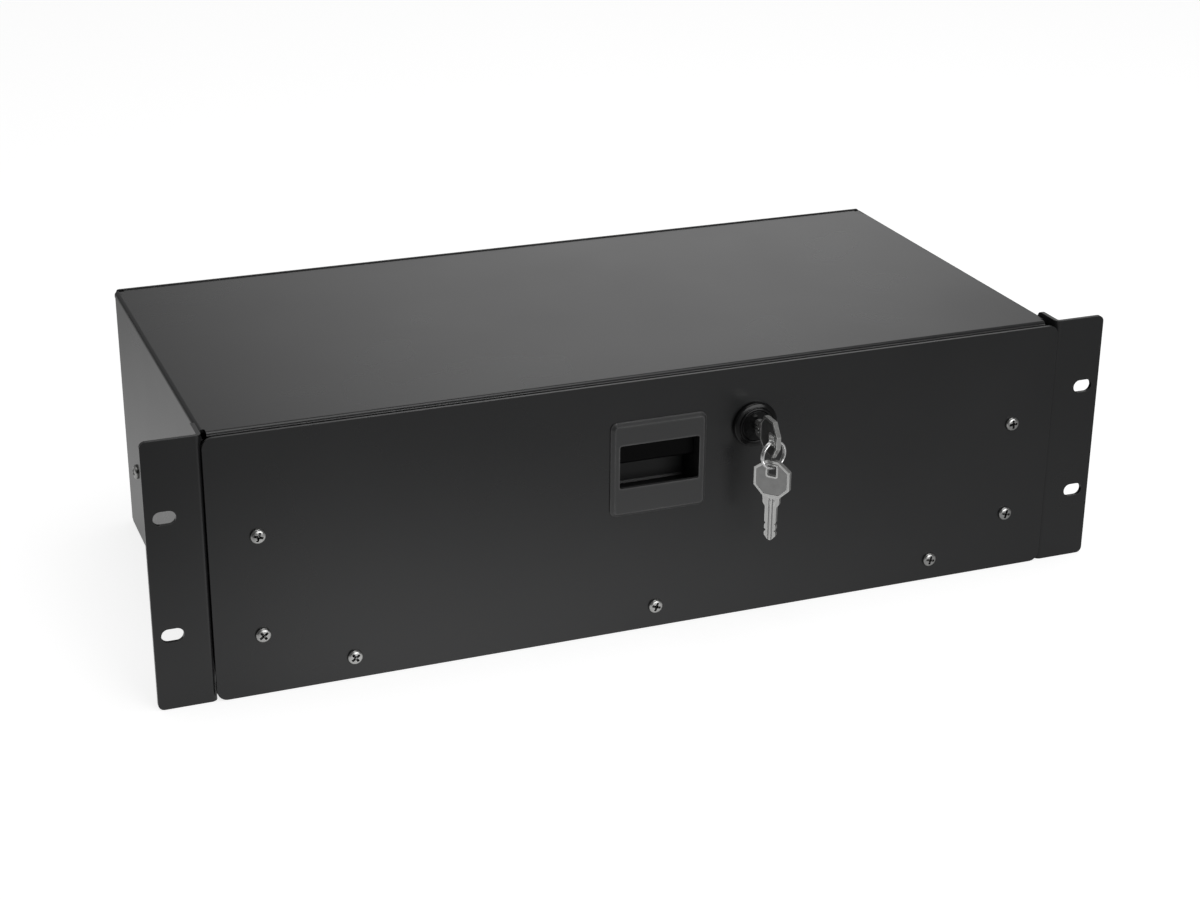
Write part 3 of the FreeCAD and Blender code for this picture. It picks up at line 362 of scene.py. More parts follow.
finishes = {
    "powderCoat": {"dark": (0.0105, 0.0108, 0.0112), "light": (0.0165, 0.0168, 0.0175), "wornAndSheen": (0.06, 0.06, 0.062),
                   "roughness": 0.28, "grain": 1100.0, "relief": 0.1, "depth": 0.00006, "wearAndSheen": 0.35, "slow": 9.0},
    "trayCoat": {"dark": (0.0105, 0.0108, 0.0112), "light": (0.0165, 0.0168, 0.0175), "wornAndSheen": (0.06, 0.06, 0.062),
                 "roughness": 0.36, "spread": 0.12, "grain": 1100.0, "relief": 0.18, "depth": 0.00006,
                 "wearAndSheen": 0.35},
    "rivetCoat": {"dark": (0.012, 0.012, 0.013), "light": (0.02, 0.02, 0.021), "wornAndSheen": 0.16, "roughness": 0.3,
                  "relief": 0.12, "wearAndSheen": 0.4},
    # painted highlight: the bezel's edges carry a broad band of lighter colour, standing in for the highlights along
    # its rims
    "mouldedBlack": {"dark": (0.032, 0.0324, 0.033), "light": (0.041, 0.0414, 0.042), "wornAndSheen": 0.17,
                     "roughness": 0.32, "grain": 2300.0, "relief": 0.35, "depth": 0.00008, "wearAndSheen": 1.0,
                     "wearAndSheenReach": 0.0015, "breakup": 12.0},
    # painted shade: a darker, duller copy of the moulding for the pocket's inner faces
    "shadedPocketBlack": {"dark": (0.017, 0.0172, 0.0175), "light": (0.022, 0.0222, 0.0225), "wornAndSheen": 0.08,
                    "roughness": 0.42, "grain": 2300.0, "relief": 0.35, "depth": 0.00008, "wearAndSheen": 0.4,
                    "specular": 0.3},
    # painted shade: the paddle's black is darkened and dulled beyond the moulding's, standing in for the shade it
    # hangs in
    "shadedPaddleBlack": {"dark": (0.0018, 0.0018, 0.0019), "light": (0.003, 0.003, 0.0031), "wornAndSheen": 0.02,
                    "roughness": 0.45, "grain": 2300.0, "relief": 0.3, "depth": 0.00008, "wearAndSheen": 0.2,
                    "specular": 0.05},
    "lockBlack": {"dark": (0.004, 0.004, 0.0042), "light": (0.007, 0.007, 0.0072), "wornAndSheen": 0.05, "roughness": 0.17,
                  "spread": 0.05, "grain": 700.0, "relief": 0.08, "wearAndSheen": 0.25, "specular": 0.22},
    # painted shade in the cross recess and round the foot of each head
    "platedScrew": {"dark": (0.34, 0.34, 0.335), "light": (0.5, 0.5, 0.49), "wornAndSheen": (0.7, 0.7, 0.69), "metal": 1.0,
                    "roughness": 0.34, "spread": 0.14, "grain": 1500.0, "relief": 0.2, "wearAndSheen": 0.7, "slow": 300.0,
                    "recessShadeReach": 0.0012, "recessShade": 0.02},
    "zincSteel": {"dark": (0.42, 0.43, 0.44), "light": (0.58, 0.585, 0.58), "wornAndSheen": 0.7, "metal": 1.0,
                  "roughness": 0.34, "spread": 0.16, "grain": 500.0, "relief": 0.12, "depth": 0.00005,
                  "stretch": (1.0, 0.12, 1.0), "slow": 40.0},
    "boltZinc": {"dark": (0.36, 0.37, 0.38), "light": (0.52, 0.53, 0.53), "wornAndSheen": 0.68, "metal": 1.0,
                 "roughness": 0.36, "spread": 0.14, "grain": 700.0, "relief": 0.15, "depth": 0.00005, "wearAndSheen": 0.5,
                 "slow": 120.0},
    "bearingSteel": {"dark": (0.6, 0.61, 0.62), "light": (0.7, 0.7, 0.71), "wornAndSheen": 0.75, "metal": 1.0,
                     "roughness": 0.1, "spread": 0.04, "relief": 0.03, "depth": 0.00002, "wearAndSheen": 0.0,
                     "slow": 200.0},
    "springSteel": {"dark": (0.3, 0.3, 0.31), "light": (0.45, 0.45, 0.46), "wornAndSheen": 0.6, "metal": 1.0,
                    "roughness": 0.28, "relief": 0.1, "depth": 0.00003, "wearAndSheen": 0.2},
    # the keys' bright edges are partly wear and partly painted highlight
    "keyNickel": {"dark": (0.4, 0.4, 0.395), "light": (0.56, 0.56, 0.55), "wornAndSheen": (0.95, 0.95, 0.94), "metal": 0.72,
                  "roughness": 0.24, "spread": 0.14, "grain": 1300.0, "relief": 0.2, "wearAndSheen": 1.0, "slow": 160.0,
                  "breakup": 20.0},
    "keyRecess": {"dark": 0.2, "light": (0.38, 0.38, 0.375), "wornAndSheen": 0.6, "metal": 0.9, "roughness": 0.42,
                  "spread": 0.16, "relief": 0.4, "depth": 0.00006, "wearAndSheen": 0.6, "slow": 220.0},
    "ringNickel": {"dark": 0.7, "light": 0.82, "wornAndSheen": 0.9, "metal": 0.75, "roughness": 0.2, "relief": 0.08,
                   "depth": 0.00003, "wearAndSheen": 0.4, "slow": 160.0},
}
materials = {name: makeFinish(name, finish) for name, finish in finishes.items()}
print("finishes made:", len(materials))


# sheet metal and mouldings

softPieces = {
    "case_shell": ("caseShell", 0.45, "powderCoat"),
    "ear_bracket_left": ("earLeft", 0.4, "powderCoat"),
    "ear_bracket_right": ("earRight", 0.4, "powderCoat"),
    "front_panel": ("frontPanel", 0.4, "powderCoat"),
    "tray": ("tray", 0.3, "trayCoat"),
}
for member in ("outer", "middle", "inner"):
    for side in ("left", "right"):
        softPieces[f"slide_{member}_{side}"] = (f"slide{member.title()}{side.title()}", 0.25, "zincSteel")
for stage in ("outer", "inner"):
    for side in ("left", "right"):
        softPieces[f"ball_cage_{stage}_{side}"] = (f"cage{stage.title()}{side.title()}", 0.1, "zincSteel")
softPieces.update({
    "latch_housing": ("latchHousing", 0.6, "mouldedBlack"),
    "latch_paddle": ("latchPaddle", 0.3, "shadedPaddleBlack"),
    "latch_bolt": ("latchBolt", 0.2, "boltZinc"),
    "latch_back_cover": ("latchCover", 0.25, "mouldedBlack"),
    "paddle_pin": ("paddlePin", 0.15, "bearingSteel"),
    "lock_washer": ("lockWasher", 0.12, "boltZinc"),
    "lock_nut": ("lockNut", 0.3, "boltZinc"),
    "lock_cam": ("lockCam", 0.25, "boltZinc"),
})
bezelDepth = 3.0   # the pocket starts this far behind the bezel's face
caseRear = {"gauge": 1.5, "round": 2.1, "notch": (4.7, 8.75), "notchDepth": 3.1, "rimRise": 0.5, "rimDrop": 1.8,
            "rimGauge": 1.0, "rimInset": 0.05, "rimEnd": 1.2, "rimRound": 1.4, "slot": (2.4, 3.4), "soft": 0.12,
            "arcSteps": 5, "lastTurn": 70.0}


def closeCaseRear(piece, shape):
    # the rear corners close but for a small relief, and the rear wall stands a little above the roof
    high = Vector(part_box("case_shell")[1]) / mm
    roof, under = high.z, high.z - shape["gauge"]
    parts = []

    def bar(*sections):
        parts.append(soften(barAlongY("caseRearPart", sections), shape["soft"] * mm))

    def arc(x, z, radius, first, last):
        return [(x + radius * across, z + radius * up) for across, up in arcPoints(first, last, shape["arcSteps"])]

    top, foot = roof + shape["rimRise"], roof - shape["rimDrop"]
    end, turned = high.x - shape["rimEnd"], shape["rimRound"]
    rim = [(end, foot), *arc(end - turned, top - turned, turned, 0, 90),
           *arc(turned - end, top - turned, turned, 90, 180), (-end, foot)]
    rimBack = high.y - shape["rimInset"]
    bar((rimBack - shape["rimGauge"], rim), (rimBack, rim))
    inside, bottom = high.x - shape["notch"][0], roof - shape["notchDepth"]
    slotEdge, start = inside + shape["slot"][0], high.y - shape["notch"][1]
    bend = high.x - shape["round"], roof - shape["round"]

    def corner(side, inset):
        # the wall, its bend and the roof's end, all drawn in by the inset
        outline = [(high.x - inset, bottom), *arc(*bend, shape["round"] - inset, 0, 90), (slotEdge, roof - inset),
                   (slotEdge, under), *arc(*bend, shape["round"] - shape["gauge"], 90, 0),
                   (high.x - shape["gauge"], bottom)]
        return [(side * x, z) for x, z in outline]

    # the corner's rear end turns in as its bend does
    turnedIn = [(high.y - shape["round"] * (1 - back), shape["round"] * (1 - across))
                for across, back in arcPoints(0, shape["lastTurn"], shape["arcSteps"])]
    for side in (1, -1):
        bar((start, corner(side, 0)), *((place, corner(side, inset)) for place, inset in turnedIn))
        plate = [(side * x, z) for x, z in ((inside, under), (slotEdge, under), (slotEdge, roof), (inside, roof))]
        bar((start, plate), (high.y - shape["slot"][1], plate))
    for part in parts:
        takeIn(piece, part)


for node, (name, width, finish) in softPieces.items():
    piece = softEdged(node, name, width * mm)
    if node == "case_shell":
        closeCaseRear(piece, caseRear)
    finishPiece(piece, node, materials[finish])
    if node == "latch_housing":
        # painted shade: the pocket's faces take a darker, duller copy of the moulding, since the pocket lies in shade
        piece.data.materials.append(materials["shadedPocketBlack"])
        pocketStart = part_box(node)[0][1] + bezelDepth * mm
        for face in piece.data.polygons:
            face.material_index = int(face.center.y > pocketStart)
print("sheet metal and mouldings:", len(softPieces))


# fasteners, grown by geometry nodes on one point each

def fastenerTree(name, *titles):
    # sizes come in as numbers between the geometry and the material
    tree, source, result = newTree(name, "GeometryNodeTree", ("Geometry", *titles, "Material"), ("Geometry",))
    tree.is_modifier = True
    return tree, source, result, [source.outputs[title] for title in titles]


def shareTable(tree, row, shares):
    # the share for each ring of a turned form
    table = addNode(tree, "GeometryNodeIndexSwitch", data_type="FLOAT")
    while len(table.index_switch_items) < len(shares):
        table.index_switch_items.new()
    return wire(tree, table, row, *shares)


def turnedForm(tree, profile, radius, height, around=32, knurl=None):
    # a surface turned about Z: each point of the profile is a share of the radius and of the height
    grid = addNode(tree, "GeometryNodeMeshGrid")
    mesh = wire(tree, grid, 1.0, 1.0, around + 1, len(profile))
    split = addNode(tree, "ShaderNodeSeparateXYZ")
    wire(tree, split, wire(tree, addNode(tree, "GeometryNodeInputPosition")))
    turn = reckon(tree, "MULTIPLY_ADD", split.outputs["X"], 2 * math.pi, math.pi)
    row = reckon(tree, "MULTIPLY_ADD", split.outputs["Y"], len(profile) - 1, (len(profile) - 1) / 2)
    row = wire(tree, addNode(tree, "FunctionNodeFloatToInt", rounding_mode="ROUND"), row)
    out = reckon(tree, "MULTIPLY", shareTable(tree, row, [share[0] for share in profile]), radius)
    up = reckon(tree, "MULTIPLY", shareTable(tree, row, [share[1] for share in profile]), height)
    if knurl:
        # a ripple round the form, as deep as the profile's shares say
        wave = reckon(tree, "SINE", reckon(tree, "MULTIPLY", turn, knurl["count"]))
        deep = shareTable(tree, row, knurl["shares"])
        out = reckon(tree, "MULTIPLY_ADD", reckon(tree, "MULTIPLY", wave, deep), knurl["depth"], out)
    place = wire(tree, addNode(tree, "ShaderNodeCombineXYZ"),
                 reckon(tree, "MULTIPLY", out, reckon(tree, "COSINE", turn)),
                 reckon(tree, "MULTIPLY", out, reckon(tree, "SINE", turn)), up)
    moved = feed(tree, addNode(tree, "GeometryNodeSetPosition"), Geometry=mesh, Position=place)
    welded = feed(tree, addNode(tree, "GeometryNodeMergeByDistance"), Geometry=moved.outputs[0],
                  Distance=softening["weld"])
    return welded.outputs[0]


def joinAll(tree, *parts):
    join = addNode(tree, "GeometryNodeJoinGeometry")
    for part in parts:
        tree.links.new(part, join.inputs[0])
    return join.outputs[0]


threadShape = {"start": 0.4 * mm, "ridge": 0.3, "steps": 20}
crossShape = {"armWidth": 0.27, "depth": 1.3}


def thread(tree, radius, reach, pitch):
    # a fine helical ridge round the shank, which starts a little below the head
    length = reckon(tree, "SUBTRACT", reach, threadShape["start"])
    turns = reckon(tree, "DIVIDE", length, pitch)
    spiral = feed(tree, addNode(tree, "GeometryNodeCurveSpiral"), Resolution=threadShape["steps"], Rotations=turns,
                  Start_Radius=radius, End_Radius=radius, Height=length)
    ridge = feed(tree, addNode(tree, "GeometryNodeCurvePrimitiveCircle"), Resolution=3,
                 Radius=reckon(tree, "MULTIPLY", pitch, threadShape["ridge"]))
    swept = feed(tree, addNode(tree, "GeometryNodeCurveToMesh"), Curve=spiral.outputs[0],
                 Profile_Curve=ridge.outputs[0])
    shift = wire(tree, addNode(tree, "ShaderNodeCombineXYZ"), None, None, reckon(tree, "MULTIPLY", reach, -1.0))
    moved = feed(tree, addNode(tree, "GeometryNodeTransform"), Geometry=swept.outputs[0], Translation=shift)
    return moved.outputs[0]


def crossRecess(tree, head, size, height):
    # the cross of a driver, cut into the top of the head
    arm = wire(tree, addNode(tree, "ShaderNodeCombineXYZ"), size,
               reckon(tree, "MULTIPLY", size, crossShape["armWidth"]),
               reckon(tree, "MULTIPLY", height, crossShape["depth"]))
    lift = wire(tree, addNode(tree, "ShaderNodeCombineXYZ"), None, None, height)
    cut = feed(tree, addNode(tree, "GeometryNodeMeshBoolean", operation="DIFFERENCE"), Mesh_1=head)
    for turn in (0.0, math.pi / 2):
        wing = feed(tree, addNode(tree, "GeometryNodeMeshCube"), Size=arm)
        moved = feed(tree, addNode(tree, "GeometryNodeTransform"), Geometry=wing.outputs[0], Translation=lift,
                     Rotation=(0, 0, turn))
        tree.links.new(moved.outputs[0], cut.inputs["Mesh 2"])
    return cut.outputs["Mesh"]


def standOnPoints(tree, source, result, form, seed=367):
    # one form on each point, its Z along the point's facing, turned by chance about it
    facing = feed(tree, addNode(tree, "GeometryNodeInputNamedAttribute", data_type="FLOAT_VECTOR"), Name="facing")
    along = feed(tree, addNode(tree, "FunctionNodeAlignRotationToVector", axis="Z"),
                 Vector=facing.outputs["Attribute"])
    chance = wire(tree, addNode(tree, "FunctionNodeRandomValue", data_type="FLOAT"), 0.0, 2 * math.pi, None, seed)
    twist = wire(tree, addNode(tree, "ShaderNodeCombineXYZ"), None, None, chance)
    turned = wire(tree, addNode(tree, "FunctionNodeRotateRotation", rotation_space="LOCAL"), along.outputs[0], twist)
    many = feed(tree, addNode(tree, "GeometryNodeInstanceOnPoints"), Points=source.outputs["Geometry"],
                Instance=form, Rotation=turned)
    real = feed(tree, addNode(tree, "GeometryNodeRealizeInstances"), Geometry=many.outputs[0])
    finish = feed(tree, addNode(tree, "GeometryNodeSetMaterial"), Geometry=real.outputs[0],
                  Material=source.outputs["Material"])
    tree.links.new(finish.outputs[0], result.inputs["Geometry"])


# profiles as shares of the radius and the height, from the axis at the top round to the axis at the foot
screwShape = {"top": [(0.0, 1.0), (0.35, 0.99)], "dome": (0.35, 0.42, 0.65, 0.57),
              "domeTurns": (0.35, 0.7, 1.05, 1.35, math.pi / 2), "foot": [(1.0, 0.06), (0.96, 0.0), (0.0, 0.0)],
              "shaft": [(0.0, 0.0), (1.0, 0.0), (1.0, -0.88), (0.78, -1.0), (0.0, -1.0)]}
rivetShape = {"top": [(0.0, 0.98), (0.16, 0.93), (0.2, 0.99)], "dome": (0.12, 0.88), "domeArc": (72, 0, 6),
              "foot": [(0.98, 0.0), (0.0, 0.0)],
              "shaft": [(0.0, 0.0), (1.0, 0.0), (1.0, -0.70)], "bulb": (1.0, -0.85, 0.5, 0.15),
              "bulbTurns": (0.5, 1.1, 1.7, 2.4), "end": [(0.8, -1.0), (0.0, -1.0)]}
nutShape = {"ring": [(0.56, 0.0), (0.97, 0.0), (1.0, 0.06), (1.0, 0.5), (1.0, 0.9), (0.95, 1.0), (0.62, 1.0),
                     (0.56, 0.9), (0.56, 0.0)],
            "count": 24, "depth": 0.12 * mm, "shares": [0.0, 0.0, 1.0, 1.0, 0.2, 0.0, 0.0, 0.0, 0.0]}
shaftSides, nutSides = 24, 96


def bulge(oval, turns):
    # points round part of an oval, which is given by its middle, half width and half height
    x, z, wide, tall = oval
    return [(x + wide * math.sin(turn), z + tall * math.cos(turn)) for turn in turns]


def makeScrewTree():
    tree, source, result, sizes = fastenerTree("crossHeadScrew", "Head Radius", "Head Height", "Shank Radius",
                                               "Reach", "Recess", "Pitch")
    radius, height, shank, reach, recess, pitch = sizes
    dome = bulge(screwShape["dome"], screwShape["domeTurns"])
    head = turnedForm(tree, screwShape["top"] + dome + screwShape["foot"], radius, height)
    head = crossRecess(tree, head, recess, height)
    shaft = turnedForm(tree, screwShape["shaft"], shank, reach, shaftSides)
    ridge = thread(tree, shank, reach, pitch)
    standOnPoints(tree, source, result, joinAll(tree, head, shaft, ridge))
    return tree


def makeRivetTree():
    tree, source, result, sizes = fastenerTree("domedRivet", "Head Radius", "Head Height", "Shank Radius", "Reach")
    radius, height, shank, reach = sizes
    low, rise = rivetShape["dome"]
    dome = [(x, low + rise * z) for x, z in arcPoints(*rivetShape["domeArc"])]
    head = turnedForm(tree, rivetShape["top"] + dome + rivetShape["foot"], radius, height)
    bulb = bulge(rivetShape["bulb"], rivetShape["bulbTurns"])
    tail = turnedForm(tree, rivetShape["shaft"] + bulb + rivetShape["end"], shank, reach, shaftSides)
    standOnPoints(tree, source, result, joinAll(tree, head, tail))
    return tree


def makeNutTree():
    tree, source, result, (radius, height) = fastenerTree("clinchNut", "Head Radius", "Head Height")
    standOnPoints(tree, source, result, turnedForm(tree, nutShape["ring"], radius, height, nutSides, nutShape))
    return tree


def makeBallTree():
    tree, source, result, (radius,) = fastenerTree("ballRow", "Head Radius")
    ball = feed(tree, addNode(tree, "GeometryNodeMeshIcoSphere"), Radius=radius, Subdivisions=4)
    standOnPoints(tree, source, result, ball.outputs[0])
    return tree


trees = {"screw": makeScrewTree(), "rivet": makeRivetTree(), "nut": makeNutTree(), "ball": makeBallTree()}


def islands(node):
    # the lowest and highest corner of each separate solid of a node
    shape = editable(frame["nodes"][node].data)
    bmesh.ops.remove_doubles(shape, verts=shape.verts, dist=softening["weld"])
    left, found = set(shape.verts), []
    while left:
        edge, group = [left.pop()], []
        while edge:
            corner = edge.pop()
            group.append(corner.co.copy())
            for side in corner.link_edges:
                other = side.other_vert(corner)
                if other in left:
                    left.discard(other)
                    edge.append(other)
        found.append([Vector([pick(point[axis] for point in group) for axis in range(3)]) for pick in (min, max)])
    shape.free()
    # one order on every run, because the chance turn of each screw goes by its number
    return sorted(found, key=lambda corners: [round(value, 4) for value in corners[0]])


def pointsObject(name, places, facing):
    mesh = bpy.data.meshes.new(name)
    mesh.from_pydata([tuple(place) for place in places], [], [])
    layer = mesh.attributes.new("facing", "FLOAT_VECTOR", "POINT")
    for number in range(len(places)):
        layer.data[number].vector = facing
    return newObject(name, mesh)


def grow(name, kind, places, facing, sizes, material, smooth=35):
    # points become finished pieces, and the modifier is gone before the piece is used
    piece = pointsObject(name, places, facing)
    modifier = piece.modifiers.new(kind, "NODES")
    modifier.node_group = trees[kind]
    sockets = {item.name: item.identifier for item in trees[kind].interface.items_tree if item.in_out == "INPUT"}
    for title, value in {**sizes, "Material": material}.items():
        if title in sockets:   # a nut has no shank, so no reach
            modifier[sockets[title]] = value
    bakeModifiers(piece)
    smoothUnder(piece.data, smooth)
    return piece


def headPlaces(node, facing, height):
    # where each fastener's head is seated, and how far it reaches behind that
    axis = max(range(3), key=lambda number: abs(facing[number]))
    places, reach = [], 0.0
    for low, high in islands(node):
        place = (low + high) / 2
        ahead = facing[axis] > 0
        place[axis] = (high[axis] if ahead else low[axis]) - facing[axis] * height
        reach = high[axis] - low[axis] - height
        places.append(place)
    return places, reach


fastenerKinds = {
    # tree, finish and sizes
    "screw": ("screw", "platedScrew", {"Head Height": 1.9 * mm, "Shank Radius": 1.95 * mm, "Recess": 4.6 * mm,
                                       "Pitch": 0.7 * mm}),
    "coverScrew": ("screw", "platedScrew", {"Head Height": 1.2 * mm, "Shank Radius": 1.05 * mm, "Recess": 2.4 * mm,
                                            "Pitch": 0.5 * mm}),
    "rivet": ("rivet", "rivetCoat", {"Head Height": 1.1 * mm, "Shank Radius": 1.6 * mm}),
    "nut": ("nut", "boltZinc", {"Head Height": 1.8 * mm}),
}
fasteners = [
    # node, piece, kind, facing, head radius in mm
    ("panel_side_screws", "panelSideScrews", "screw", (0, -1, 0), 3.5),
    ("panel_bottom_screws", "panelBottomScrews", "screw", (0, -1, 0), 3.5),
    ("slide_case_screws_left", "slideCaseScrewsLeft", "screw", (-1, 0, 0), 3.75),
    ("slide_case_screws_right", "slideCaseScrewsRight", "screw", (1, 0, 0), 3.75),
    ("slide_tray_screws_left", "slideTrayScrewsLeft", "screw", (1, 0, 0), 3.75),
    ("slide_tray_screws_right", "slideTrayScrewsRight", "screw", (-1, 0, 0), 3.75),
    ("cam_screw", "camScrew", "screw", (0, 1, 0), 5.3),
    ("latch_cover_screws", "latchCoverScrews", "coverScrew", (0, 1, 0), 2.0),
    ("ear_rivets_left", "earRivetsLeft", "rivet", (-1, 0, 0), 3.0),
    ("ear_rivets_right", "earRivetsRight", "rivet", (1, 0, 0), 3.0),
    ("case_rear_rivets", "caseRearRivets", "rivet", (0, 1, 0), 3.0),
    ("tray_rear_rivets", "trayRearRivets", "rivet", (0, 1, 0), 3.0),
    ("panel_clinch_nuts", "clinchNuts", "nut", (0, 1, 0), 3.6),
]
for node, name, kind, facing, radius in fasteners:
    form, finish, sizes = fastenerKinds[kind]
    places, reach = headPlaces(node, facing, sizes["Head Height"])
    inputs = {"Head Radius": radius * mm, "Reach": reach, **sizes}
    finishPiece(grow(name, form, places, facing, inputs, materials[finish]), node, materials[finish])
print("fasteners:", len(fasteners))


# lock

def turnedPiece(name, profile, place, around, adjust=None):
    # a closed form turned about its axis from (radius, height) points; adjust may move each point
    shape = bmesh.new()
    rings = []
    for radius, height in profile:
        ring = []
        for step in range(around):
            angle = 2 * math.pi * step / around
            point = Vector((radius * math.cos(angle), radius * math.sin(angle), height))
            ring.append(shape.verts.new((adjust(point, angle) if adjust else point) * mm))
        rings.append(ring)
    joinRings(shape, rings, closed=True)
    bmesh.ops.remove_doubles(shape, verts=shape.verts, dist=softening["turnedWeld"])
    bmesh.ops.recalc_face_normals(shape, faces=shape.faces)
    shape.transform(place)
    return objectFrom(name, shape)


def towardsFront(x, y, z):
    # local Z points out of the front of the drawer
    return Matrix.Translation((x, y, z)) @ Matrix(((1, 0, 0), (0, 0, -1), (0, 1, 0))).to_4x4()


lockShape = {"head": 11.25, "headHeight": 3.9, "barrel": 9.4, "flat": 8.2, "bore": 7.0, "pocket": 7.7,
             "pocketFloor": 2.5, "pitch": 1.0, "thread": 0.32, "threadStart": 0.3, "plain": 1.6, "neck": 0.4,
             "rim": 1.5, "dome": (0.9, 1.3), "domeArc": (15, 90, 5), "backEdge": 0.2, "endEdge": 0.5,
             # inset and height: a shallow face, a narrow groove, then a raised ring round the plug
             "face": ((1.6, 3.02), (2.15, 3.12), (2.3, 2.95), (2.42, 3.0), (2.5, 3.55), (2.62, 3.8), (2.85, 3.9)),
             # and from the pocket's wall outwards
             "mouth": ((0.4, 3.9), (0.15, 3.82), (0.0, 3.6)),
             "soft": 0.15, "perPitch": 8, "around": 96, "smooth": 32, "plugRound": 0.12}


def makeLockBody(shape):
    low, high = (Vector(corner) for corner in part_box("lock_body"))
    axis = middle("lock_body")
    length = (high.y - low.y) / mm - shape["headHeight"]
    first, last = -length + shape["threadStart"], -shape["plain"]
    count = round((last - first) / shape["pitch"] * shape["perPitch"])
    barrel, head, pocket, soft = shape["barrel"], shape["head"], shape["pocket"], shape["soft"]
    inner, rise = shape["dome"]
    neck, edge = barrel - shape["neck"], shape["backEdge"]
    profile = [(shape["bore"], -length), (barrel - shape["endEdge"], -length), (barrel - soft, -length + soft)]
    profile += [(barrel, first + (last - first) * step / count) for step in range(count + 1)]
    profile += [(neck, last + soft), (neck, 0), (head - edge, 0), (head, edge), (head, shape["rim"])]
    profile += [(head - inner * (1 - out), shape["rim"] + rise * up) for out, up in arcPoints(*shape["domeArc"])]
    profile += [(head - inset, height) for inset, height in shape["face"]]
    profile += [(pocket + outset, height) for outset, height in shape["mouth"]]
    profile += [(pocket, shape["pocketFloor"]), (shape["bore"], shape["pocketFloor"])]

    def adjust(point, angle):
        if first <= point.z <= last + 0.01:
            phase = (point.z / shape["pitch"] - angle / (2 * math.pi)) % 1
            radius = barrel - shape["thread"] * (1 - abs(2 * phase - 1))
            point = Vector((radius * math.cos(angle), radius * math.sin(angle), point.z))
        if point.z < -0.05:
            point.x = max(-shape["flat"], min(shape["flat"], point.x))
        return point

    place = towardsFront(axis.x, low.y + shape["headHeight"] * mm, axis.z)
    piece = turnedPiece("lockBody", profile, place, shape["around"], adjust)
    smoothUnder(piece.data, shape["smooth"])
    finishPiece(piece, "lock_body", materials["lockBlack"])


makeLockBody(lockShape)
finishPiece(softEdged("lock_plug", "lockPlug", lockShape["plugRound"] * mm), "lock_plug", materials["lockBlack"])


# keys

keyShape = {"bowGauge": 2.4, "bladeGauge": 2.0, "bowLength": 18.55, "shankLength": 5.1, "bladeHalf": 2.9,
            "taper": 0.13, "slope": 1.2, "slopeStart": 0.6, "recess": 0.3, "groove": 0.15, "ribLength": 2.6,
            "ribWidth": 0.75, "ribSink": 0.03, "ribRound": 0.09, "ribPlaces": (-1.7, 0.2), "round": 0.15,
            "rimRound": 0.55, "rimReach": 3.2, "rimSteps": 4, "ribSteps": 2, "drawnIn": 1.1, "bowMargin": 0.2,
            "smooth": 40, "spareTurn": 41.0}


def ribbedKey(node, name, place, shape):
    # a key with softened edges, and short raised ribs on both faces of its shank
    back = place.inverted()
    turn = back.to_3x3()
    bowMiddle = Vector((0, shape["bowLength"] / 2, 0)) * mm

    def roundRim(piece):
        # the outside of the bow is rounder than the rest
        solid = editable(piece.data)
        rim = []
        for edge in solid.edges:
            ends = [back @ corner.co for corner in edge.verts]
            if any(abs(abs(end.x) - shape["bowGauge"] / 2 * mm) > 1e-5 for end in ends) or len(edge.link_faces) != 2:
                continue
            walls = [turn @ face.normal for face in edge.link_faces if abs((turn @ face.normal).x) < 0.5]
            if len(walls) == 1 and walls[0].dot((ends[0] + ends[1]) / 2 - bowMiddle) > shape["rimReach"] * mm:
                rim.append(edge)
        bmesh.ops.bevel(solid, geom=rim, offset=shape["rimRound"] * mm, segments=shape["rimSteps"],
                        affect="EDGES", profile=0.5, clamp_overlap=True)
        settle(solid, piece.data)

    piece = softEdged(node, name, shape["round"] * mm, prepare=roundRim)
    solid = editable(piece.data)
    shankEnd = (shape["bowLength"] + shape["shankLength"]) * mm
    bladeHalf = shape["bladeHalf"] * mm
    for corner in solid.verts:
        # the shank draws in towards the blade and ends in a slope
        spot = back @ corner.co
        along = (spot.y - shape["bowLength"] * mm) / (shape["shankLength"] * mm)
        if 0 < along < shape["drawnIn"] and abs(spot.z) > bladeHalf:
            side = math.copysign(1, spot.z)
            beyond = abs(spot.z) - bladeHalf
            if spot.y > shankEnd - shape["slopeStart"] * mm:
                spot.y -= shape["slope"] * beyond
            spot.z = side * (bladeHalf + beyond * (1 - shape["taper"] * min(1, along)))
            corner.co = place @ spot
    for across in shape["ribPlaces"]:
        rib = bmesh.ops.create_cube(solid, size=1.0)["verts"]
        gauge = shape["bowGauge"] - 2 * shape["ribSink"]
        size = Matrix.Diagonal((gauge, shape["ribLength"], shape["ribWidth"], 1 / mm)) * mm
        spot = Vector((0, shape["bowLength"] + shape["shankLength"] / 2, across)) * mm
        bmesh.ops.transform(solid, matrix=place @ Matrix.Translation(spot) @ size, verts=rib)
        edges = list({edge for corner in rib for edge in corner.link_edges})
        bmesh.ops.bevel(solid, geom=edges, offset=shape["ribRound"] * mm, segments=shape["ribSteps"],
                        affect="EDGES", profile=0.5)
    settle(solid, piece.data)
    smoothUnder(piece.data, shape["smooth"])
    finishPiece(piece, node, materials["keyNickel"])
    piece.data.materials.append(materials["keyRecess"])
    for face in piece.data.polygons:
        spot = back @ face.center
        onBow = spot.y < (shape["bowLength"] - shape["bowMargin"]) * mm
        surface = shape["bowGauge"] - shape["recess"] if onBow else shape["bladeGauge"] - shape["groove"]
        if abs(spot.x) < surface / 2 * mm and abs((turn @ face.normal).x) > 0.95:
            face.material_index = 1


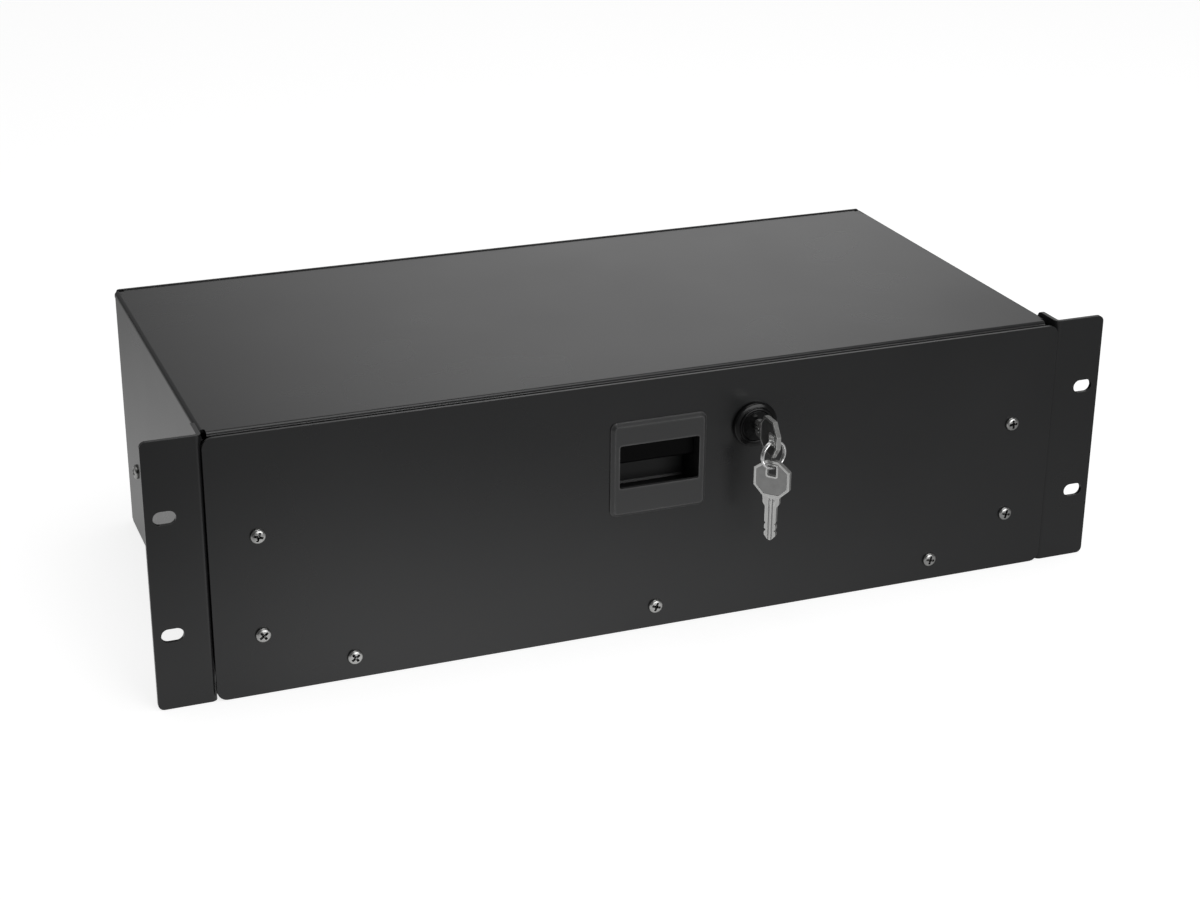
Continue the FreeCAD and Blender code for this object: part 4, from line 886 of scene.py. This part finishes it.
ringMiddle = middle("key_ring")
lockMiddle = middle("lock_plug")
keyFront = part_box("key_inserted")[0][1]
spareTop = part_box("key_spare")[1][2]
spareTurn = math.radians(keyShape["spareTurn"])
ribbedKey("key_inserted", "keyInserted", Matrix.Translation((lockMiddle.x, keyFront, lockMiddle.z)), keyShape)
ribbedKey("key_spare", "keySpare", Matrix.Translation((lockMiddle.x, ringMiddle.y, spareTop))
          @ Matrix.Rotation(spareTurn, 4, "Z") @ Matrix.Rotation(-math.pi / 2, 4, "X"), keyShape)


# wire forms

wireShape = {"endInset": 0.35, "smooth": 50}


def wirePiece(name, points, radius, around=14):
    # round wire along a list of points, closed at both ends
    shape = bmesh.new()
    rings = []
    turn = None
    for number, point in enumerate(points):
        ahead = points[min(number + 1, len(points) - 1)] - points[max(number - 1, 0)]
        if turn is None:
            turn = ahead.to_track_quat("Z", "Y")
        else:
            turn = (turn @ Vector((0, 0, 1))).rotation_difference(ahead) @ turn
        rings.append([shape.verts.new(point + turn @ Vector((radius * math.cos(step * 2 * math.pi / around),
                                                             radius * math.sin(step * 2 * math.pi / around), 0)))
                      for step in range(around)])
    joinRings(shape, rings)
    for ring in (rings[0], rings[-1]):
        bmesh.ops.inset_individual(shape, faces=[shape.faces.new(ring)], thickness=wireShape["endInset"] * radius,
                                   depth=0.0)
    bmesh.ops.recalc_face_normals(shape, faces=shape.faces)
    piece = objectFrom(name, shape)
    smoothUnder(piece.data, wireShape["smooth"])
    return piece


ringShape = {"radius": 6.6, "wire": 0.6, "offset": 0.58, "turned": 14.0, "start": 200.0, "cross": (345.0, 375.0),
             "gap": 8.0, "steps": 200}


def makeRing(shape):
    # a split ring: the wire goes round twice, and steps across from one turn to the other
    turned = math.radians(shape["turned"])
    facing = Vector((math.sin(turned), -math.cos(turned), 0))
    across = Vector((math.cos(turned), math.sin(turned), 0))
    points = []
    total = 2 * 360.0 - shape["gap"]
    for step in range(shape["steps"] + 1):
        turn = total * step / shape["steps"]
        share = (turn - shape["cross"][0]) / (shape["cross"][1] - shape["cross"][0])
        share = max(0.0, min(1.0, share))
        level = shape["offset"] * (2 * (share * share * (3 - 2 * share)) - 1)
        angle = math.radians(shape["start"] + turn)
        points.append(ringMiddle + (across * math.cos(angle) + Vector((0, 0, 1)) * math.sin(angle))
                      * shape["radius"] * mm + facing * level * mm)
    finishPiece(wirePiece("keyRing", points, shape["wire"] * mm), "key_ring", materials["ringNickel"])


makeRing(ringShape)

springShape = {"wire": 0.24, "radius": 1.35, "open": 4, "closed": 1.0, "closedPitch": 1.05, "perTurn": 28}


def makeSpring(shape):
    # a compression spring with a flat turn at each end
    low, high = (Vector(corner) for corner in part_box("latch_spring"))
    axis = middle("latch_spring")
    wire, flat = shape["wire"] * mm, shape["closed"]
    bottom, top = low.z + wire, high.z - wire
    turns = shape["open"] + 2 * flat
    pressed = 2 * wire * shape["closedPitch"]
    points = []
    for step in range(int(turns * shape["perTurn"]) + 1):
        turn = step / shape["perTurn"]
        share = min(1.0, max(0.0, (turn - flat) / shape["open"]))
        level = bottom + pressed * min(turn, flat) / flat + (top - bottom - 2 * pressed) * share
        level += pressed * max(0.0, turn - flat - shape["open"]) / flat
        angle = 2 * math.pi * turn
        points.append(Vector((axis.x + shape["radius"] * mm * math.cos(angle),
                              axis.y + shape["radius"] * mm * math.sin(angle), level)))
    spring = finishPiece(wirePiece("latchSpring", points, wire, 10), "latch_spring", materials["springSteel"])
    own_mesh(spring)


makeSpring(springShape)
print("lock, keys, ring and spring made")


# ball rows

ballShape = {"radius": 2.0, "smooth": 60}
for stage in ("outer", "inner"):
    for side in ("left", "right"):
        node = f"balls_{stage}_{side}"
        places = [(low + high) / 2 for low, high in islands(node)]
        balls = grow(f"balls{stage.title()}{side.title()}", "ball", places, (0, 0, 1),
                     {"Head Radius": ballShape["radius"] * mm}, materials["bearingSteel"], ballShape["smooth"])
        finishPiece(balls, node, materials["bearingSteel"])
print("ball rows made")


# studio

studio = {"floorSize": 14.0, "floorTone": 0.45, "floorGlow": 0.78, "floorRoughness": 0.9, "floorSpecular": 0.1,
          "worldLight": 0.42, "worldGloss": 0.24}
# how bright reflections find the floor and the sky: axis, from, to, and the share at each end
floorShares = {"front": ("Y", -0.34, 0.0, 0.0, 0.77), "frontRight": ("X", -0.14, 0.26, 1.0, 0.2),
               "frontLeft": ("X", -0.24, -0.16, 0.8, 1.0), "farLeft": ("X", -0.22, -0.12, 0.0575, 0.23),
               "farRight": ("X", 0.2, 0.45, 1.0, 0.7), "rear": ("Y", 0.2, 0.6, 0.64, 0.35),
               "rearMiddle": ("X", -0.22, -0.1, 1.0, 0.15), "behind": ("Y", 0.02, 0.12, 0.0, 1.0)}
skyShares = {"ahead": ("Y", -0.75, 0.15, 0.24, 1.0), "lift": ("Z", 0.03, 0.22, 0.1, 1.0)}
backGlow = {"turn": 23.5, "rise": 14.0, "edge": 0.96, "strength": 0.92}
lamps = {
    "overhead": {"place": (0.15, -0.1, 1.6), "target": (0, 0.1, 0), "size": (1.3, 0.9), "power": 8.0},
    "frontFill": {"place": (0.6, -1.9, 0.5), "target": (0, 0, 0), "size": (1.3, 0.9), "power": 18.0},
}


def viewDependent(tree, seen, unseen, *rays):
    # one value for the rays named, another for the rest
    path = addNode(tree, "ShaderNodeLightPath")
    mask = path.outputs[rays[0]]
    for ray in rays[1:]:
        mask = reckon(tree, "MAXIMUM", mask, path.outputs[ray])
    return blend(tree, "FLOAT", mask, unseen, seen)


def rampShare(tree, split, axis, start, end, first, last, curve="SMOOTHSTEP"):
    # a share that changes from first to last along one axis
    ramp = feed(tree, addNode(tree, "ShaderNodeMapRange", interpolation_type=curve), Value=split.outputs[axis],
                From_Min=start, From_Max=end, To_Min=first, To_Max=last)
    return ramp.outputs["Result"]


def makeFloor():
    size = studio["floorSize"] / 2
    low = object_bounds()[0][2]
    mesh = bpy.data.meshes.new("floor")
    mesh.from_pydata([(-size, -size, low), (size, -size, low), (size, size, low), (-size, size, low)], [],
                     [(0, 1, 2, 3)])
    floor = newObject("floor", mesh)
    material = bpy.data.materials.new("paleFloor")
    material.use_nodes = True
    tree = material.node_tree
    # reflections find it brightest close to the drawer's left half, dimmer ahead, to the sides and behind
    place = addNode(tree, "ShaderNodeTexCoord").outputs["Object"]
    split = feed(tree, addNode(tree, "ShaderNodeSeparateXYZ"), Vector=place)
    shares = {name: rampShare(tree, split, *band) for name, band in floorShares.items()}
    near = reckon(tree, "MULTIPLY", shares["front"], shares["frontRight"])
    base = reckon(tree, "MULTIPLY", shares["farLeft"], shares["farRight"])
    front = reckon(tree, "MULTIPLY_ADD", near, shares["frontLeft"], base)
    # the floor straight behind stays dark, so that the top's rear and right edges end in a dark line
    rear = reckon(tree, "MULTIPLY", shares["rear"], shares["rearMiddle"])
    share = blend(tree, "FLOAT", shares["behind"], front, rear)
    dim = viewDependent(tree, share, 1.0, "Is Glossy Ray")
    grey = reckon(tree, "MULTIPLY", dim, studio["floorTone"])
    tone = feed(tree, addNode(tree, "ShaderNodeCombineColor"), Red=grey, Green=grey, Blue=grey)
    glow = viewDependent(tree, studio["floorGlow"], 0.0, "Is Camera Ray", "Is Glossy Ray", "Is Transmission Ray")
    feed(tree, tree.nodes["Principled BSDF"], Base_Color=tone.outputs[0], Roughness=studio["floorRoughness"],
         Specular_IOR_Level=studio["floorSpecular"], Emission_Color=(1, 1, 1, 1),
         Emission_Strength=reckon(tree, "MULTIPLY", glow, dim))
    mesh.materials.append(material)


def makeWorld():
    world = bpy.data.worlds.new("studio")
    bpy.context.scene.world = world
    world.use_nodes = True
    tree = world.node_tree
    direction = addNode(tree, "ShaderNodeTexCoord").outputs["Generated"]
    split = feed(tree, addNode(tree, "ShaderNodeSeparateXYZ"), Vector=direction)
    # darker ahead of the drawer, brightest behind it to the right
    ahead, lift = (rampShare(tree, split, *skyShares[name], "LINEAR") for name in ("ahead", "lift"))
    turn, rise = math.radians(backGlow["turn"]), math.radians(backGlow["rise"])
    towards = addNode(tree, "ShaderNodeVectorMath", operation="DOT_PRODUCT")
    wire(tree, towards, direction, (math.sin(turn) * math.cos(rise), math.cos(turn) * math.cos(rise), math.sin(rise)))
    panel = feed(tree, addNode(tree, "ShaderNodeMapRange"), Value=towards.outputs["Value"],
                 From_Min=backGlow["edge"], From_Max=1.0, To_Min=0.0, To_Max=backGlow["strength"])
    shiny = reckon(tree, "MULTIPLY_ADD", ahead, studio["worldGloss"], panel.outputs["Result"])
    shiny = reckon(tree, "MULTIPLY", shiny, lift)
    soft = reckon(tree, "MULTIPLY", ahead, studio["worldLight"])
    strength = viewDependent(tree, 1.0, viewDependent(tree, shiny, soft, "Is Glossy Ray"), "Is Camera Ray")
    feed(tree, tree.nodes["Background"], Color=(1, 1, 1, 1), Strength=strength)


def makeLamp(name, lampSettings):
    lamp = bpy.data.objects.new(name, bpy.data.lights.new(name, "AREA"))
    lamp.data.shape = "RECTANGLE"
    lamp.data.size, lamp.data.size_y = lampSettings["size"]
    lamp.data.energy = lampSettings["power"]
    lamp.location = lampSettings["place"]
    lamp.rotation_mode = "QUATERNION"
    aim = Vector(lampSettings["target"]) - Vector(lampSettings["place"])
    lamp.rotation_quaternion = aim.to_track_quat("-Z", "Y")
    bpy.context.scene.collection.objects.link(lamp)


makeFloor()
makeWorld()
for name, lampSettings in lamps.items():
    makeLamp(name, lampSettings)

bpy.context.scene.view_settings.view_transform = "Standard"
print("scene ready")
